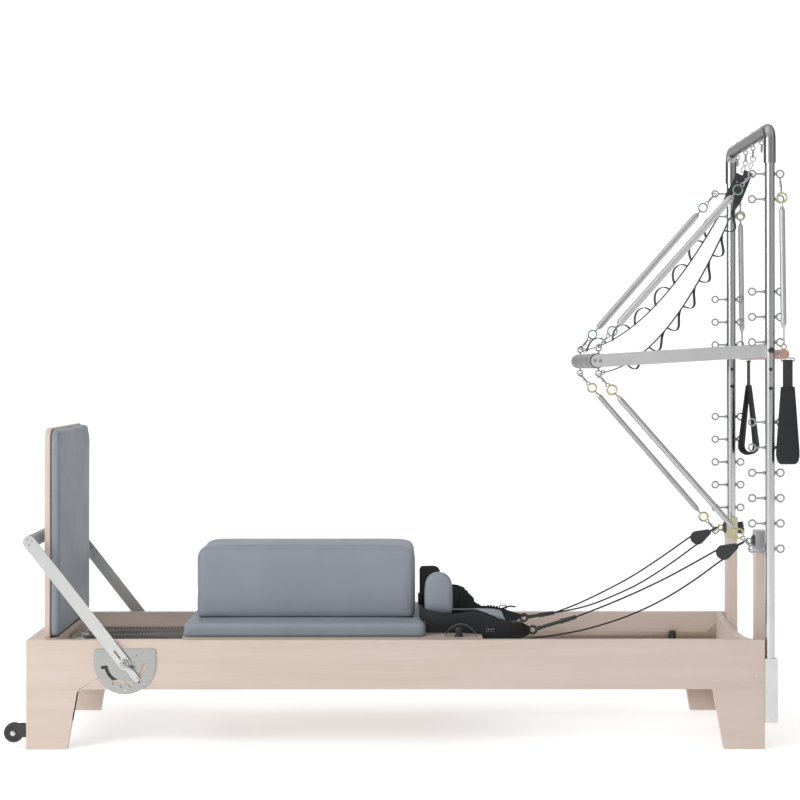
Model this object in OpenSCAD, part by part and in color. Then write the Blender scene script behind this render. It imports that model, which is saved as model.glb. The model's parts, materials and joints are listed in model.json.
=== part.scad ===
// Pilates reformer with a wooden frame, a rolling carriage and a steel tower.
// X runs from the foot end to the head end, Y across the frame, Z up from the floor.

/* [Frame] */
// Length of the wooden frame
frame_l = 2400; // [2300:10:2500]
// Width over the side panels
frame_w = 720; // [700:2:760]
// Thickness of a side panel
panel_t = 30; // [26:1:32]
// Height of the top edge of the rails
rail_top = 355; // [350:1:370]
// Depth of a rail between the legs
rail_d = 160; // [145:5:175]
// Length of a leg along the frame under the rail
leg_top_l = 167; // [150:1:190]
// Length of a leg along the frame at the floor
leg_foot_l = 132; // [110:1:145]
// Radius in the corner between leg and rail
leg_corner_r = 14; // [8:1:30]
// Thickness of the end boards
end_t = 25; // [20:1:30]
// Distance from the head end of the rails to the head end board
head_inset = 15; // [10:1:20]
// Sag of the scooped edge of the head end board
scoop = 28; // [15:1:40]
// Length of the small deck under the jumpboard
foot_deck_l = 91; // [85:1:110]
// Thickness of the small deck under the jumpboard
foot_deck_t = 22; // [18:1:26]
// Height of the lower edge of the foot end board
foot_board_z = 150; // [100:5:200]

/* [Tracks] */
// Height of the face that the wheels roll on
track_z = 260; // [250:1:264]
// Width of the rolling face
track_w = 38; // [36:1:42]
// Wall of the track profile
track_t = 4; // [3:0.5:5]
// Height of the lip that guides the wheels
track_lip = 4; // [3:0.5:6]
// Height of the web that is screwed to the panel
track_web = 46; // [40:1:60]
// Radius of a rubber stop
stop_r = 13; // [11:0.5:14]
// Height of a rubber stop above the rolling face
stop_h = 30; // [26:1:34]
// Distance from the head end board to the head stops
head_stop_gap = 160; // [150:5:220]

/* [Carriage] */
// Distance from the foot end of the frame to the carriage
carriage_x = 500; // [490:5:520]
// Length of the carriage deck
deck_l = 985; // [960:5:1000]
// Width of the carriage deck
deck_w = 600; // [580:2:620]
// Thickness of the carriage deck
deck_t = 16; // [12:1:18]
// Length of the carriage pad
pad_l = 799; // [780:1:800]
// Thickness of the carriage pad
pad_t = 46; // [40:1:50]
// Radius of a carriage wheel
wheel_r = 24; // [20:1:25]
// Width of a carriage wheel
wheel_w = 20; // [16:1:22]
// Radius of a wheel axle
axle_r = 5; // [4:0.5:6]
// Distance from a carriage end to its wheels
wheel_inset = 55; // [52:1:90]
// Depth of the end beams under the deck
beam_h = 62; // [56:1:70]
// Thickness of the end beams
beam_t = 25; // [20:1:30]

/* [Headrest and shoulder rests] */
// Length of the headrest
headrest_l = 272; // [240:2:300]
// Width of the headrest
headrest_w = 210; // [180:2:220]
// Thickness of the headrest
headrest_t = 44; // [36:1:48]
// Width of the front shoulder rest along the carriage
rest_l = 95; // [80:1:98]
// Width of the rear shoulder rest along the carriage
rear_rest_l = 64; // [56:1:70]
// Height of the rear shoulder rest pad
rear_rest_h = 121; // [100:1:140]
// Thickness of the black shell on a shoulder rest
shell_t = 8; // [6:0.5:10]
// Height of a shoulder rest pad
rest_h = 138; // [110:1:160]
// Thickness of a shoulder rest pad
rest_t = 50; // [40:1:54]
// Distance of a shoulder rest from the middle
rest_y = 180; // [176:1:190]
// Height of the black shoulder rest base
rest_base_h = 62; // [56:1:66]
// Reach of the base beyond the middle of the rest
rest_foot = 84; // [60:1:90]
// Radius of the peg under a shoulder rest base
rest_peg_r = 8; // [6:0.5:10]
// Radius of a loop peg on the deck
loop_peg_r = 15; // [12:0.5:18]
// Height of a loop peg on the deck
loop_peg_h = 32; // [25:1:40]

/* [Sitting box] */
// Length of the sitting box
box_l = 730; // [650:5:760]
// Width of the sitting box
box_w = 325; // [300:5:360]
// Height of the sitting box
box_h = 243; // [200:1:280]
// Room on the pad between the sitting box and the headrest
box_gap = 35; // [25:1:60]

/* [Jumpboard] */
// Width of the jumpboard
board_w = 624; // [580:2:650]
// Height of the jumpboard
board_h = 686; // [600:2:720]
// Thickness of the jumpboard plywood
board_t = 18; // [15:1:21]
// Thickness of the jumpboard pad
board_pad_t = 31; // [24:1:36]
// Radius of the pegs that hold the jumpboard
board_peg_r = 9; // [7:0.5:11]

/* [Footbar] */
// Distance from the foot end to the footbar pivot
footbar_x = 321; // [310:1:330]
// Height of the footbar pivot
footbar_z = 280; // [276:1:284]
// Length of a footbar arm between pivot and cross tube
arm_l = 501; // [480:1:520]
// Width of a footbar arm
arm_w = 40; // [36:1:44]
// Thickness of a footbar arm
arm_t = 6; // [5:0.5:8]
// Thickness of the footbar's pivot heads
pivot_head = 10; // [8:0.5:12]
// Lean of the footbar arms from upright
arm_lean = 38.1; // [37:0.1:40]
// Radius of the notched plate
plate_r = 100; // [96:1:104]
// Height of the notched plate above the pivot
plate_top = 47; // [40:1:55]
// Thickness of the notched plate
plate_t = 4; // [3:0.5:5]
// Radius of the lock pin's path
lock_r = 62; // [58:1:66]
// Radius of the padded grip
grip_r = 21; // [18:0.5:23]
// Radius of the footbar cross tube
grip_tube_r = 14; // [11:0.5:15]

/* [Tower] */
// Height of the tower
tower_h = 2040; // [2000:5:2150]
// Outer radius of a post
post_r = 16; // [14:0.5:17]
// Wall of a post
post_wall = 2; // [1.5:0.5:3]
// Distance of a post from the middle
post_y = 347; // [345:0.5:349]
// Distance from the head end of the rails to a post's axis
post_out = 19.5; // [18.5:0.5:24]
// Radius of the bent top bar
bow_r = 19.5; // [18.5:0.5:21]
// Radius of the bends of the top bar, on its centre line
bow_bend = 40; // [34:1:60]
// Length of the top bar's sleeves below the bends
bow_sleeve = 72; // [50:1:90]
// Height of the lower end of a socket
socket_z = 86; // [60:1:120]
// Length of a socket
socket_h = 209; // [180:1:230]

/* [Eyebolts] */
// Distance between eyebolts in a row
eye_pitch = 82.5; // [80:0.5:84]
// Height of the lowest eyebolt
eye_low_z = 650; // [640:1:655]
// Height of the first eyebolt above the bar's pivot
eye_mid_z = 1323; // [1319:1:1326]
// Height of the first eyebolt of the top pair
eye_top_z = 1789.5; // [1785:0.5:1795]
// Radius of the eyes that point to the foot end
eye_r = 11.25; // [10:0.25:13]
// Radius of an eyebolt's wire
eye_wire = 2.75; // [2.5:0.25:3]
// Reach of the eyes on the foot side of a post
eye_reach = 58; // [50:1:64]
// Reach of the eyes on the head side of a post
eye_back = 34; // [33:0.5:36]
// Distance of the outer top bar eyebolts from the middle
bow_eye_y = 217; // [190:1:230]
// Distance of the inner top bar eyebolts from the middle
bow_eye_mid_y = 66; // [60:1:80]

/* [Push-through bar] */
// Height of the push-through bar's pivot
push_z = 1297; // [1290:1:1300]
// Length of its arms between pivot and cross tube
push_l = 560; // [540:1:580]
// Width of its arms
push_w = 43; // [38:1:46]
// Thickness of its arms
push_t = 8; // [6:0.5:8]
// Angle by which its arms slope down at rest
push_drop = 3.5; // [2:0.1:5]
// Radius of its cross tube
push_tube_r = 25; // [22:0.5:27]
// Radius of the eyes on the cross tube
push_eye_r = 9.2; // [8.5:0.1:10]
// Radius of those eyes' wire
push_eye_wire = 2.5; // [2:0.25:3]
// Distance of those eyes from the tube's axis
push_eye_out = 42; // [40:0.5:46]
// Distance of those eyes from the middle
push_eye_y = 300; // [290:1:304]

/* [Springs] */
// Outer diameter of the upper springs
upper_d = 23; // [20:0.5:26]
// Outer diameter of the lower springs
lower_d = 19; // [17:0.5:22]
// Outer diameter of the roll-down springs
roll_d = 17; // [15:0.5:18]
// Diameter of the spring wire
spring_wire = 5; // [4:0.5:6]
// Turns shown on a push-through bar spring
spring_turns = 10; // [8:1:11]
// Turns shown on a roll-down spring
roll_turns = 7; // [6:1:8]
// Number of carriage springs
carriage_springs_n = 5; // [3:1:5]
// Outer diameter of a carriage spring
carriage_spring_d = 24; // [20:1:28]
// Turns shown on a carriage spring
carriage_turns = 5; // [4:1:6]
// Radius of a spring's end ring
ring_r = 15.5; // [14:0.5:17]
// Radius of the end ring's wire
ring_wire = 2.5; // [2:0.1:3]

/* [Roll-down bar] */
// Radius of the wooden dowel
dowel_r = 16; // [14:0.5:17]
// Height of the dowel
dowel_z = 1284; // [1278:1:1286]
// Distance of the hanging springs from the middle
roll_y = 361; // [360.5:0.5:364]

/* [Hand loops] */
// Width of a hand loop's padded band
hand_w = 74; // [60:1:76]
// Width of the padded band at its top
hand_top_w = 44; // [36:1:50]
// Length of a hand loop's padded part
hand_l = 254; // [220:1:270]
// Length of the webbing above it
hand_strap_l = 82; // [70:1:95]
// Width of the webbing
strap_w = 32; // [25:1:38]
// Thickness of the padded band
hand_t = 10; // [8:0.5:12]
// Width of the front loop, which hangs flat
front_open = 30; // [26:1:32]
// Width of the rear loop, which hangs open
rear_open = 72; // [60:1:76]

/* [Risers and pulleys] */
// Distance of a riser from the middle
riser_y = 265; // [255:1:275]
// Width of a riser across the frame
riser_w = 48; // [40:1:50]
// Thickness of a riser along the frame
riser_t = 37; // [30:1:40]
// Height of a riser's top
riser_z = 703; // [700:1:720]
// Height of the pulley eye on a riser
anchor_z = 668; // [660:1:672]
// Radius of the rope's path round a sheave
sheave_path = 17; // [17:0.5:17.5]
// Radius of a sheave
sheave_r = 20; // [19.5:0.5:21]
// Width of a sheave
sheave_w = 11; // [10:0.5:11.5]
// Radius of a sheave's axle
sheave_axle = 3; // [2.5:0.5:4]
// Diameter of the ropes
rope_d = 5.5; // [5:0.5:6]

/* [Foot loops] */
// Thickness of a foot loop's band
loop_t = 8; // [6:0.5:9]

/* [Transport wheels] */
// Radius of a transport wheel
roller_r = 32; // [28:1:34]
// Width of a transport wheel
roller_w = 20; // [16:1:22]
// Distance of its axle beyond the foot end
roller_out = 42; // [40:1:48]
// Height of its axle
roller_z = 54; // [46:1:60]
// Radius of its axle
roller_axle = 5; // [4:0.5:6]

/* [Hidden] */

$fn = 48;
// Gap between pieces that rest on or slide past each other
seat = 0.3;
// Radial gap of a shaft in its bore
fit = 0.05;

half_l = frame_l / 2;
half_w = frame_w / 2;
inner_y = half_w - panel_t;
foot_x = -half_l;
head_x = half_l;
board_x = head_x - head_inset - end_t;
post_x = head_x + post_out;

// Carriage
deck_x = foot_x + carriage_x;
deck_end = deck_x + deck_l;
axle_z = track_z + wheel_r + seat;
deck_z = rail_top - 15;
deck_top = deck_z + deck_t;
pad_crown = 3;
pad_top = deck_top + pad_t;
wheel_y = inner_y - track_t - seat - 3 - wheel_w / 2;
wheel_plate_t = 6;
wheel_plate_y = wheel_y - wheel_w / 2 - 2 - wheel_plate_t;
beam_in = 10;
beam_z = deck_z - beam_h;
stop_y = wheel_y - 2;
head_stop_x = board_x - head_stop_gap;

// Headrest and shoulder rests
headrest_x = deck_x + pad_l + 6;
rest_x = headrest_x + 38.5;
rear_rest_x = rest_x - 18.5;

// Jumpboard
board_foot = rail_top + seat;
board_back = foot_x + 50;
board_front = board_back + board_t;

// Footbar
pivot_x = foot_x + footbar_x;
plate_y = half_w;
arm_y = plate_y + plate_t + 3;
pivot_r = 8;
bar_x = pivot_x - arm_l * sin(arm_lean);
bar_z = footbar_z + arm_l * cos(arm_lean);

// Tower
bow_z = tower_h - bow_r;
sleeve_z = bow_z - bow_bend - bow_sleeve;
post_top = bow_z - bow_bend - seat;
eye_rows = concat([for (k = [0:5]) eye_low_z + k * eye_pitch],
    [for (k = [0:2]) eye_mid_z + k * eye_pitch], [for (k = [0:1]) eye_top_z + k * eye_pitch]);
shank_r = 3;
spare_holes = [push_z - 62, push_z - 124];
top_eye_z = eye_top_z + eye_pitch;
bow_eye_z = bow_z - bow_r - 12;
bow_ring_z = bow_eye_z - 28;

// Push-through bar
push_y = post_y - post_r - 3 - push_t;
tube_x = post_x - push_l * cos(push_drop);
tube_z = push_z - push_l * sin(push_drop);
tube_bolt_gap = 18;
push_eye_x = tube_x + 5.5;

// Spring ends
upper_a = [post_x - eye_reach, post_y, top_eye_z];
upper_b = [push_eye_x, push_eye_y, tube_z + push_eye_out];
lower_a = [push_eye_x, push_eye_y, tube_z - push_eye_out];
lower_b = [post_x - eye_reach, post_y, eye_low_z];
roll_x = post_x + eye_back;
roll_pivot_z = top_eye_z - eye_r - 0.5;
dowel_x = roll_x + 9;

// Hand loops
hand_bar_r = 2;
hand_bar_z = dowel_z - dowel_r - 6;
hand_x = dowel_x + 11;
front_hand_y = arm_y + arm_t + pivot_head - front_open / 2;
rear_hand_y = post_y - eye_wire - 48;
rear_hand_turn = 72;

// Risers and pulleys
riser_x = head_x - head_inset;
riser_eye_r = 9;
riser_eye_wire = 2.5;
anchor_x = riser_x - 29;
block_tilt = 27.5;
block_l = 82.3;
sheave_x = anchor_x - block_l * cos(block_tilt);
sheave_z = anchor_z - block_l * sin(block_tilt);
cheek_y = 6.5;
cheek_t = 2.5;
link_r = 7;
link_wire = 1.7;
knob_h = 22;

// Foot loops and their rings
loop_in = 57;
loop_out = loop_in + loop_t;
loop_reach = 292;
front_ring = [456, -215, 368];
rear_ring = [456, 205, 352];
front_sleeve = [600, -234, 414];
rear_sleeve = [566, 228, 366];
cap_t = 1.5;
cleat_y = 284;
cleat_x = deck_end + 10;
cleat_z = deck_z - 8;

// Route of the front rope: from its sleeve over the sheave and back to the carriage
front_route = [front_sleeve + [0.6, 0, 0.2], [700, -240, 454], [800, -246, 498], [900, -252, 547],
    [1000, -260, 603], [1052, -264, 633], [1077, -265, 646], [1086, -265, 647],
    [1096, -265, 641], [1100, -265, 630], [1093, -265, 616],
    [1060, -265, 593], [1000, -266, 549], [920, -268, 497], [840, -270, 454],
    [740, -272, 412], [620, -276, 377], [520, -279, 359], [420, -282, 346],
    [340, -284, 335], [cleat_x, -cleat_y, cleat_z]];
// Route of the rear rope
rear_route = [rear_sleeve + [1, 0.1, 0.2], [650, 236, 397], [750, 244, 443], [850, 250, 496],
    [950, 256, 560], [1040, 262, 622], [1077, 265, 646], [1086, 265, 647],
    [1096, 265, 641], [1100, 265, 630], [1093, 265, 616],
    [1060, 265, 591], [1000, 265, 547], [930, 264, 500], [860, 263, 459],
    [780, 262, 422], [690, 264, 387], [590, 270, 364], [480, 276, 350],
    [380, 282, 338], [cleat_x, cleat_y, cleat_z]];

// The origin is at the middle of the whole object
x_low = foot_x - roller_out - roller_r;
x_high = hand_x + (hand_w * cos(rear_hand_turn) + rear_open * sin(rear_hand_turn)) / 2;
mid_x = (x_low + x_high) / 2;

steel = [0.76, 0.77, 0.78];
wood = [0.87, 0.80, 0.75];
leather = [0.50, 0.53, 0.57];
black = [0.17, 0.17, 0.18];

function unit(v) = v / norm(v);
function lerp(a, b, t) = a + (b - a) * t;

module at_origin() {
    translate([-mid_x, 0, 0]) children();
}

module both_sides() {
    children();
    mirror([0, 1, 0]) children();
}

// A round bar between two points
module rod(a, b, r) {
    v = b - a;
    translate(a)
        rotate([0, acos(v[2] / norm(v)), atan2(v[1], v[0])])
            cylinder(r = r, h = norm(v));
}

// A wire ring that stands in the X-Z plane, turned about Z
module ring(p, r, wire, turn = 0) {
    translate(p)
        rotate([0, 0, turn])
            rotate([90, 0, 0])
                rotate_extrude()
                    translate([r, 0]) circle(wire);
}

// An outline round a large and a small circle
module teardrop2d(r1, r2, d) {
    a = acos((r1 - r2) / d);
    k = 0.99;
    circle(r1);
    translate([d, 0]) circle(r2);
    polygon([[r1 * cos(a), r1 * sin(a)] * k, [r1 * cos(a), -r1 * sin(a)] * k,
        [d, 0] + [r2 * cos(a), -r2 * sin(a)] * k, [d, 0] + [r2 * cos(a), r2 * sin(a)] * k]);
}

module bar2d(l, r) {
    circle(r);
    translate([l, 0]) circle(r);
    translate([0, -r]) square([l, 2 * r]);
}

// A plate in the X-Z plane at a point, its inner face at distance y from the middle
module wall_plate(x, z, y, t) {
    translate([x, -y, z])
        rotate([90, 0, 0])
            linear_extrude(t) children();
}

function normals(t) = [for (i = 0,
        u = unit(cross(t[0], abs(t[0][2]) < 0.9 ? [0, 0, 1] : [0, 1, 0])); i < len(t);
        i = i + 1, u = i < len(t) ? unit(u - (u * t[i]) * t[i]) : u) u];

// Triangles round a stack of rings of n points, closed by two end points
function stack_faces(rings, n) = concat(
    [for (i = [0:rings - 2], j = [0:n - 1]) each let (a = i * n + j, b = i * n + (j + 1) % n)
        [[a, a + n, b + n], [a, b + n, b]]],
    [for (j = [0:n - 1]) [rings * n, j, (j + 1) % n]],
    [for (j = [0:n - 1]) let (m = (rings - 1) * n) [rings * n + 1, m + (j + 1) % n, m + j]]);

// A tube swept along points
module tube(p, r, sides = 8) {
    n = len(p);
    t = [for (i = [0:n - 1]) unit(p[min(i + 1, n - 1)] - p[max(i - 1, 0)])];
    u = normals(t);
    points = [for (i = [0:n - 1], j = [0:sides - 1]) let (a = 360 * j / sides)
        p[i] + r * (cos(a) * u[i] + sin(a) * cross(t[i], u[i]))];
    polyhedron(points = concat(points, [p[0], p[n - 1]]), faces = stack_faces(n, sides));
}

// A smooth curve through route points, with s steps between two of them
function smooth(p, s) = let (n = len(p)) concat([for (i = [0:n - 2], k = [0:s - 1])
    let (t = k / s, a = p[max(i - 1, 0)], b = p[i], c = p[i + 1], d = p[min(i + 2, n - 1)])
        0.5 * (2 * b + (c - a) * t + (2 * a - 5 * b + 4 * c - d) * t * t
            + (3 * b - a - 3 * c + d) * t * t * t)], [p[n - 1]]);

// Centre line of a tension spring whose turns close in at both ends
function coil_line(a, b, r, turns, wire, steps) =
    let (l = norm(b - a), w = unit(b - a),
        u = unit(cross(w, [0, 1, 0.3])), v = cross(w, u), n = turns * steps)
    concat([a], [for (i = [0:n]) let (c = i / steps,
        end = min(1, c, turns - c), grow = (1 - cos(180 * end)) / 2,
        z = wire + (l - 2 * wire) * i / n)
            a + w * z + r * grow * (cos(360 * c) * u + sin(360 * c) * v)], [b]);

function least(v) = min(v);
// Least gap between turns: points more than half a turn apart on one centre line
function coil_gap(p, steps, wire) = least([for (i = [0:len(p) - 1])
    for (j = [i + steps / 2 + 1:1:len(p) - 1]) norm(p[i] - p[j])]) - wire;

module coil(a, b, d, turns, wire, steps = 6, sides = 6) {
    p = coil_line(a, b, (d - wire) / 2, turns, wire, steps);
    echo(least_gap = coil_gap(p, steps, wire));
    tube(p, wire / 2, sides);
}

// Outline of a cushion with four corner radii and sides drawn in by tuck
function cushion_plan(l, w, r, tuck, arc, mid) =
    let (sx = [1, -1, -1, 1], sy = [1, 1, -1, -1], inward = [[0, -1], [1, 0], [0, 1], [-1, 0]],
        start = [for (k = [0:3]) [sx[k] * (l / 2 - r[k]), sy[k] * (w / 2 - r[k])]
            + r[k] * [cos(90 * k), sin(90 * k)]],
        end = [for (k = [0:3]) [sx[k] * (l / 2 - r[k]), sy[k] * (w / 2 - r[k])]
            + r[k] * [cos(90 * k + 90), sin(90 * k + 90)]])
    [for (k = [0:3]) each concat(
        [for (a = [0:arc]) [sx[k] * (l / 2 - r[k]), sy[k] * (w / 2 - r[k])]
            + r[k] * [cos(90 * k + 90 * a / arc), sin(90 * k + 90 * a / arc)]],
        [for (m = [1:mid]) lerp(end[k], start[(k + 1) % 4], m / (mid + 1))
            + inward[k] * tuck * sin(180 * m / (mid + 1))])];

// A crowned cushion, centred on the origin, its base at height 0
module cushion(l, w, h, r, edge, crown, tuck, arc = 4, mid = 3) {
    plan = cushion_plan(l, w, r, tuck, arc, mid);
    side_top = h - crown;
    low = edge * 0.4;
    levels = concat([for (a = [90, 40, 0]) [low * (1 - cos(a)), low * (1 - sin(a))]],
        [for (a = [0, 35, 65, 90]) [edge * (1 - cos(a)), side_top - edge + edge * sin(a)]]);
    inner = [for (s = [0.75, 0.4]) [s, h - crown * s * s]];
    rings = concat([for (e = levels) [for (p = plan)
            [p[0] * (1 - 2 * e[0] / l), p[1] * (1 - 2 * e[0] / w), e[1]]]],
        [for (e = inner) [for (p = plan)
            [p[0] * (1 - 2 * edge / l) * e[0], p[1] * (1 - 2 * edge / w) * e[0], e[1]]]]);
    points = concat([for (q = rings) each q], [[0, 0, 0], [0, 0, h]]);
    polyhedron(points = points, faces = stack_faces(len(rings), len(plan)));
}

// The rounding in the corner where the leg's edge meets the underside of the rail
module leg_corner() {
    lean = atan((leg_top_l - leg_foot_l) / (rail_top - rail_d));
    turn = 90 - lean;
    reach = leg_corner_r / tan(turn / 2 + lean);
    c = [head_x - leg_top_l - reach, rail_top - rail_d - leg_corner_r];
    foot = c + leg_corner_r * [cos(lean), sin(lean)];
    lap = 4;
    difference() {
        polygon([[c[0], rail_top - rail_d + lap], [head_x - leg_top_l + lap, rail_top - rail_d + lap],
            foot + [lap, 0], foot, c]);
        translate(c) circle(leg_corner_r + 0.05);
    }
}

module panel_outline() {
    h = rail_top - rail_d;
    difference() {
        polygon([[foot_x, 0], [foot_x + leg_foot_l, 0], [foot_x + leg_top_l, h],
            [head_x - leg_top_l, h], [head_x - leg_foot_l, 0], [head_x, 0],
            [head_x, rail_top], [foot_x, rail_top]]);
        translate([pivot_x, footbar_z]) circle(pivot_r + fit);
    }
    leg_corner();
    mirror([1, 0]) leg_corner();
}

module side_panel_front() {
    color(wood) at_origin() wall_plate(0, 0, inner_y, panel_t) panel_outline();
}

module side_panel_rear() {
    color(wood) at_origin() mirror([0, 1, 0]) wall_plate(0, 0, inner_y, panel_t) panel_outline();
}

module foot_end_board() {
    color(wood) at_origin()
        translate([foot_x, -inner_y, foot_board_z])
            cube([end_t, 2 * inner_y, rail_top - foot_deck_t - foot_board_z]);
}

module foot_deck_board() {
    color(wood) at_origin() difference() {
        translate([foot_x, -inner_y, rail_top - foot_deck_t])
            cube([foot_deck_l, 2 * inner_y, foot_deck_t]);
        both_sides() translate([board_back + board_t / 2, -board_w / 3, 0])
            cylinder(r = board_peg_r + seat, h = rail_top + 1);
    }
}

module head_end_board() {
    big = (pow(inner_y, 2) + pow(scoop, 2)) / (2 * scoop);
    color(wood) at_origin()
        translate([board_x, 0, 0])
            rotate([90, 0, 90])
                linear_extrude(end_t) difference() {
                    translate([-inner_y, 0]) square([2 * inner_y, rail_top]);
                    translate([0, rail_top - scoop + big]) circle(big, $fn = 200);
                }
}

module track_profile() {
    y = inner_y;
    polygon([[y, track_z - track_web / 2], [y, track_z + track_web / 2],
        [y - track_t, track_z + track_web / 2], [y - track_t, track_z],
        [y - track_w + track_t, track_z], [y - track_w + track_t, track_z + track_lip],
        [y - track_w, track_z + track_lip], [y - track_w, track_z - track_t],
        [y - track_t, track_z - track_t], [y - track_t, track_z - track_web / 2]]);
}

module tracks() {
    color(steel) at_origin() both_sides()
        translate([foot_x + end_t, 0, 0])
            rotate([90, 0, 90])
                linear_extrude(board_x - foot_x - end_t) track_profile();
}

spring_bar_x = foot_x + 106;
spring_bar_z = 287;
spring_bar_h = 44;
spring_bar_t = 5;
spring_drop = 20;
hook_step = 100;

// Notched steel angle that the carriage springs hook over
module spring_bar() {
    color(steel) at_origin() {
        difference() {
            translate([spring_bar_x, -inner_y + track_w, spring_bar_z])
                cube([spring_bar_t, 2 * (inner_y - track_w), spring_bar_h]);
            for (k = [0:carriage_springs_n - 1])
                translate([spring_bar_x - 1, (k - (carriage_springs_n - 1) / 2) * hook_step - 4,
                    spring_bar_z + spring_bar_h - spring_drop - 4])
                    cube([spring_bar_t + 2, 8, spring_drop + 5]);
        }
        both_sides() translate([spring_bar_x, -inner_y, spring_bar_z - 4])
            cube([30, track_w + 4, 6]);
    }
}

module carriage_springs() {
    z = spring_bar_z + spring_bar_h - spring_drop;
    from = spring_bar_x + spring_bar_t + 15;
    to = deck_x + beam_in - seat;
    color(steel) at_origin()
        for (k = [0:carriage_springs_n - 1])
            translate([0, (k - (carriage_springs_n - 1) / 2) * hook_step, 0]) {
                rod([spring_bar_x - seat - 4, 0, z], [spring_bar_x - seat, 0, z], 7);
                rod([spring_bar_x - seat, 0, z], [from + 3, 0, z], 3);
                coil([from, 0, z], [to - 28, 0, z], carriage_spring_d, carriage_turns,
                    spring_wire, 6, 5);
                rod([to - 28, 0, z], [to, 0, z], 3);
            }
}

module travel_stops() {
    color(black) at_origin() both_sides() {
        translate([deck_x + beam_in - stop_r - seat, -stop_y, track_z])
            cylinder(r1 = stop_r, r2 = stop_r - 2, h = stop_h);
        translate([head_stop_x, -stop_y, track_z])
            cylinder(r1 = stop_r, r2 = stop_r - 2, h = stop_h);
    }
}

module risers() {
    foot = 100;
    color(wood) at_origin() both_sides() difference() {
        translate([riser_x, -riser_y - riser_w / 2, foot])
            cube([riser_t, riser_w, riser_z - foot]);
        translate([riser_x - 1, -riser_y, anchor_z])
            rotate([0, 90, 0]) cylinder(r = shank_r + 1.2, h = riser_t + 2);
    }
}

// Metal caps on the risers, with the pulley eyes and their threaded shanks
module riser_caps() {
    cap_h = 72;
    color(steel) at_origin() both_sides() {
        difference() {
            translate([riser_x - cap_t, -riser_y - riser_w / 2 - cap_t, riser_z - cap_h])
                cube([riser_t + 2 * cap_t, riser_w + 2 * cap_t, cap_h + cap_t]);
            translate([riser_x, -riser_y - riser_w / 2, riser_z - cap_h - 1])
                cube([riser_t, riser_w, cap_h + 1]);
        }
        ring([anchor_x + riser_eye_r, -riser_y, anchor_z], riser_eye_r, riser_eye_wire);
        rod([anchor_x + 2 * riser_eye_r, -riser_y, anchor_z],
            [riser_x + riser_t + cap_t + knob_h - 5, -riser_y, anchor_z], shank_r + 1);
    }
}

module riser_clips() {
    clip_r = 22;
    clip_t = 7.4;
    color(black) at_origin() both_sides()
        translate([riser_x - cap_t - clip_t, -riser_y, anchor_z])
            rotate([0, 90, 0]) difference() {
                cylinder(r1 = clip_r - 5, r2 = clip_r, h = clip_t);
                translate([0, 0, -1]) cylinder(r = shank_r + 1.2, h = clip_t + 2);
            }
}

module riser_knob() {
    knob_r = 20;
    lobes = 6;
    at_origin() translate([riser_x + riser_t + cap_t + seat, -riser_y, anchor_z])
        rotate([0, 90, 0]) difference() {
            union() {
                cylinder(r = knob_r - 7, h = knob_h);
                translate([0, 0, 6]) cylinder(r = knob_r, h = knob_h - 6);
            }
            for (k = [0:lobes - 1])
                rotate([0, 0, k * 360 / lobes + 15])
                    translate([knob_r + 4, 0, -1]) cylinder(r = 8, h = knob_h + 2);
            translate([0, 0, -1]) cylinder(r = shank_r + 1 + fit, h = knob_h - 3);
        }
}

module riser_knob_front() {
    color(black) riser_knob();
}

module riser_knob_rear() {
    color(black) mirror([0, 1, 0]) riser_knob();
}

// The notched plate: a half disc under a short rectangle, with the lock pin's slot
module plate_outline() {
    top_r = 8;
    slot_half = 5.5;
    difference() {
        union() {
            intersection() {
                circle(plate_r);
                translate([-plate_r, -plate_r]) square([2 * plate_r, plate_r]);
            }
            translate([-plate_r, 0]) square([2 * plate_r, plate_top - top_r]);
            translate([-plate_r + top_r, 0]) square([2 * (plate_r - top_r), plate_top]);
            for (s = [-1, 1])
                translate([s * (plate_r - top_r), plate_top - top_r]) circle(top_r);
        }
        circle(pivot_r + fit);
        intersection() {
            difference() {
                circle(lock_r + slot_half);
                circle(lock_r - slot_half);
            }
            polygon([[0, 0], 2 * plate_r * [cos(190), sin(190)],
                2 * plate_r * [cos(225), sin(225)], 2 * plate_r * [cos(270), sin(270)],
                2 * plate_r * [cos(315), sin(315)], 2 * plate_r * [cos(356), sin(356)]]);
        }
        for (a = [190, 240, 262, 284, 308, 356])
            rotate(a) translate([lock_r, 0]) bar2d(12, 5);
        for (s = [-1, 1])
            translate([s * 38, 26]) circle(2.6);
        translate([0, -plate_r + 12]) circle(2.6);
    }
}

module footbar_plates() {
    color(steel) at_origin() both_sides()
        wall_plate(pivot_x, footbar_z, plate_y, plate_t) plate_outline();
}

module footbar_arms() {
    color(steel) at_origin() {
        both_sides() wall_plate(pivot_x, footbar_z, arm_y, arm_t)
            rotate(90 + arm_lean) difference() {
                union() {
                    bar2d(arm_l, arm_w / 2);
                    translate([-lock_r, 0]) bar2d(lock_r, arm_w / 4);
                }
                circle(pivot_r + fit);
                translate([arm_w * 0.6, 0]) bar2d(arm_w * 0.7, 3);
            }
        difference() {
            rod([bar_x, -arm_y, bar_z], [bar_x, arm_y, bar_z], grip_tube_r);
            rod([bar_x, -arm_y + 3, bar_z], [bar_x, arm_y - 3, bar_z], grip_tube_r - 2);
        }
        both_sides() rod([pivot_x + lock_r * sin(arm_lean), -plate_y - 0.5,
            footbar_z - lock_r * cos(arm_lean)], [pivot_x + lock_r * sin(arm_lean),
            -arm_y - arm_t - 6, footbar_z - lock_r * cos(arm_lean)], 5);
    }
}

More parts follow.
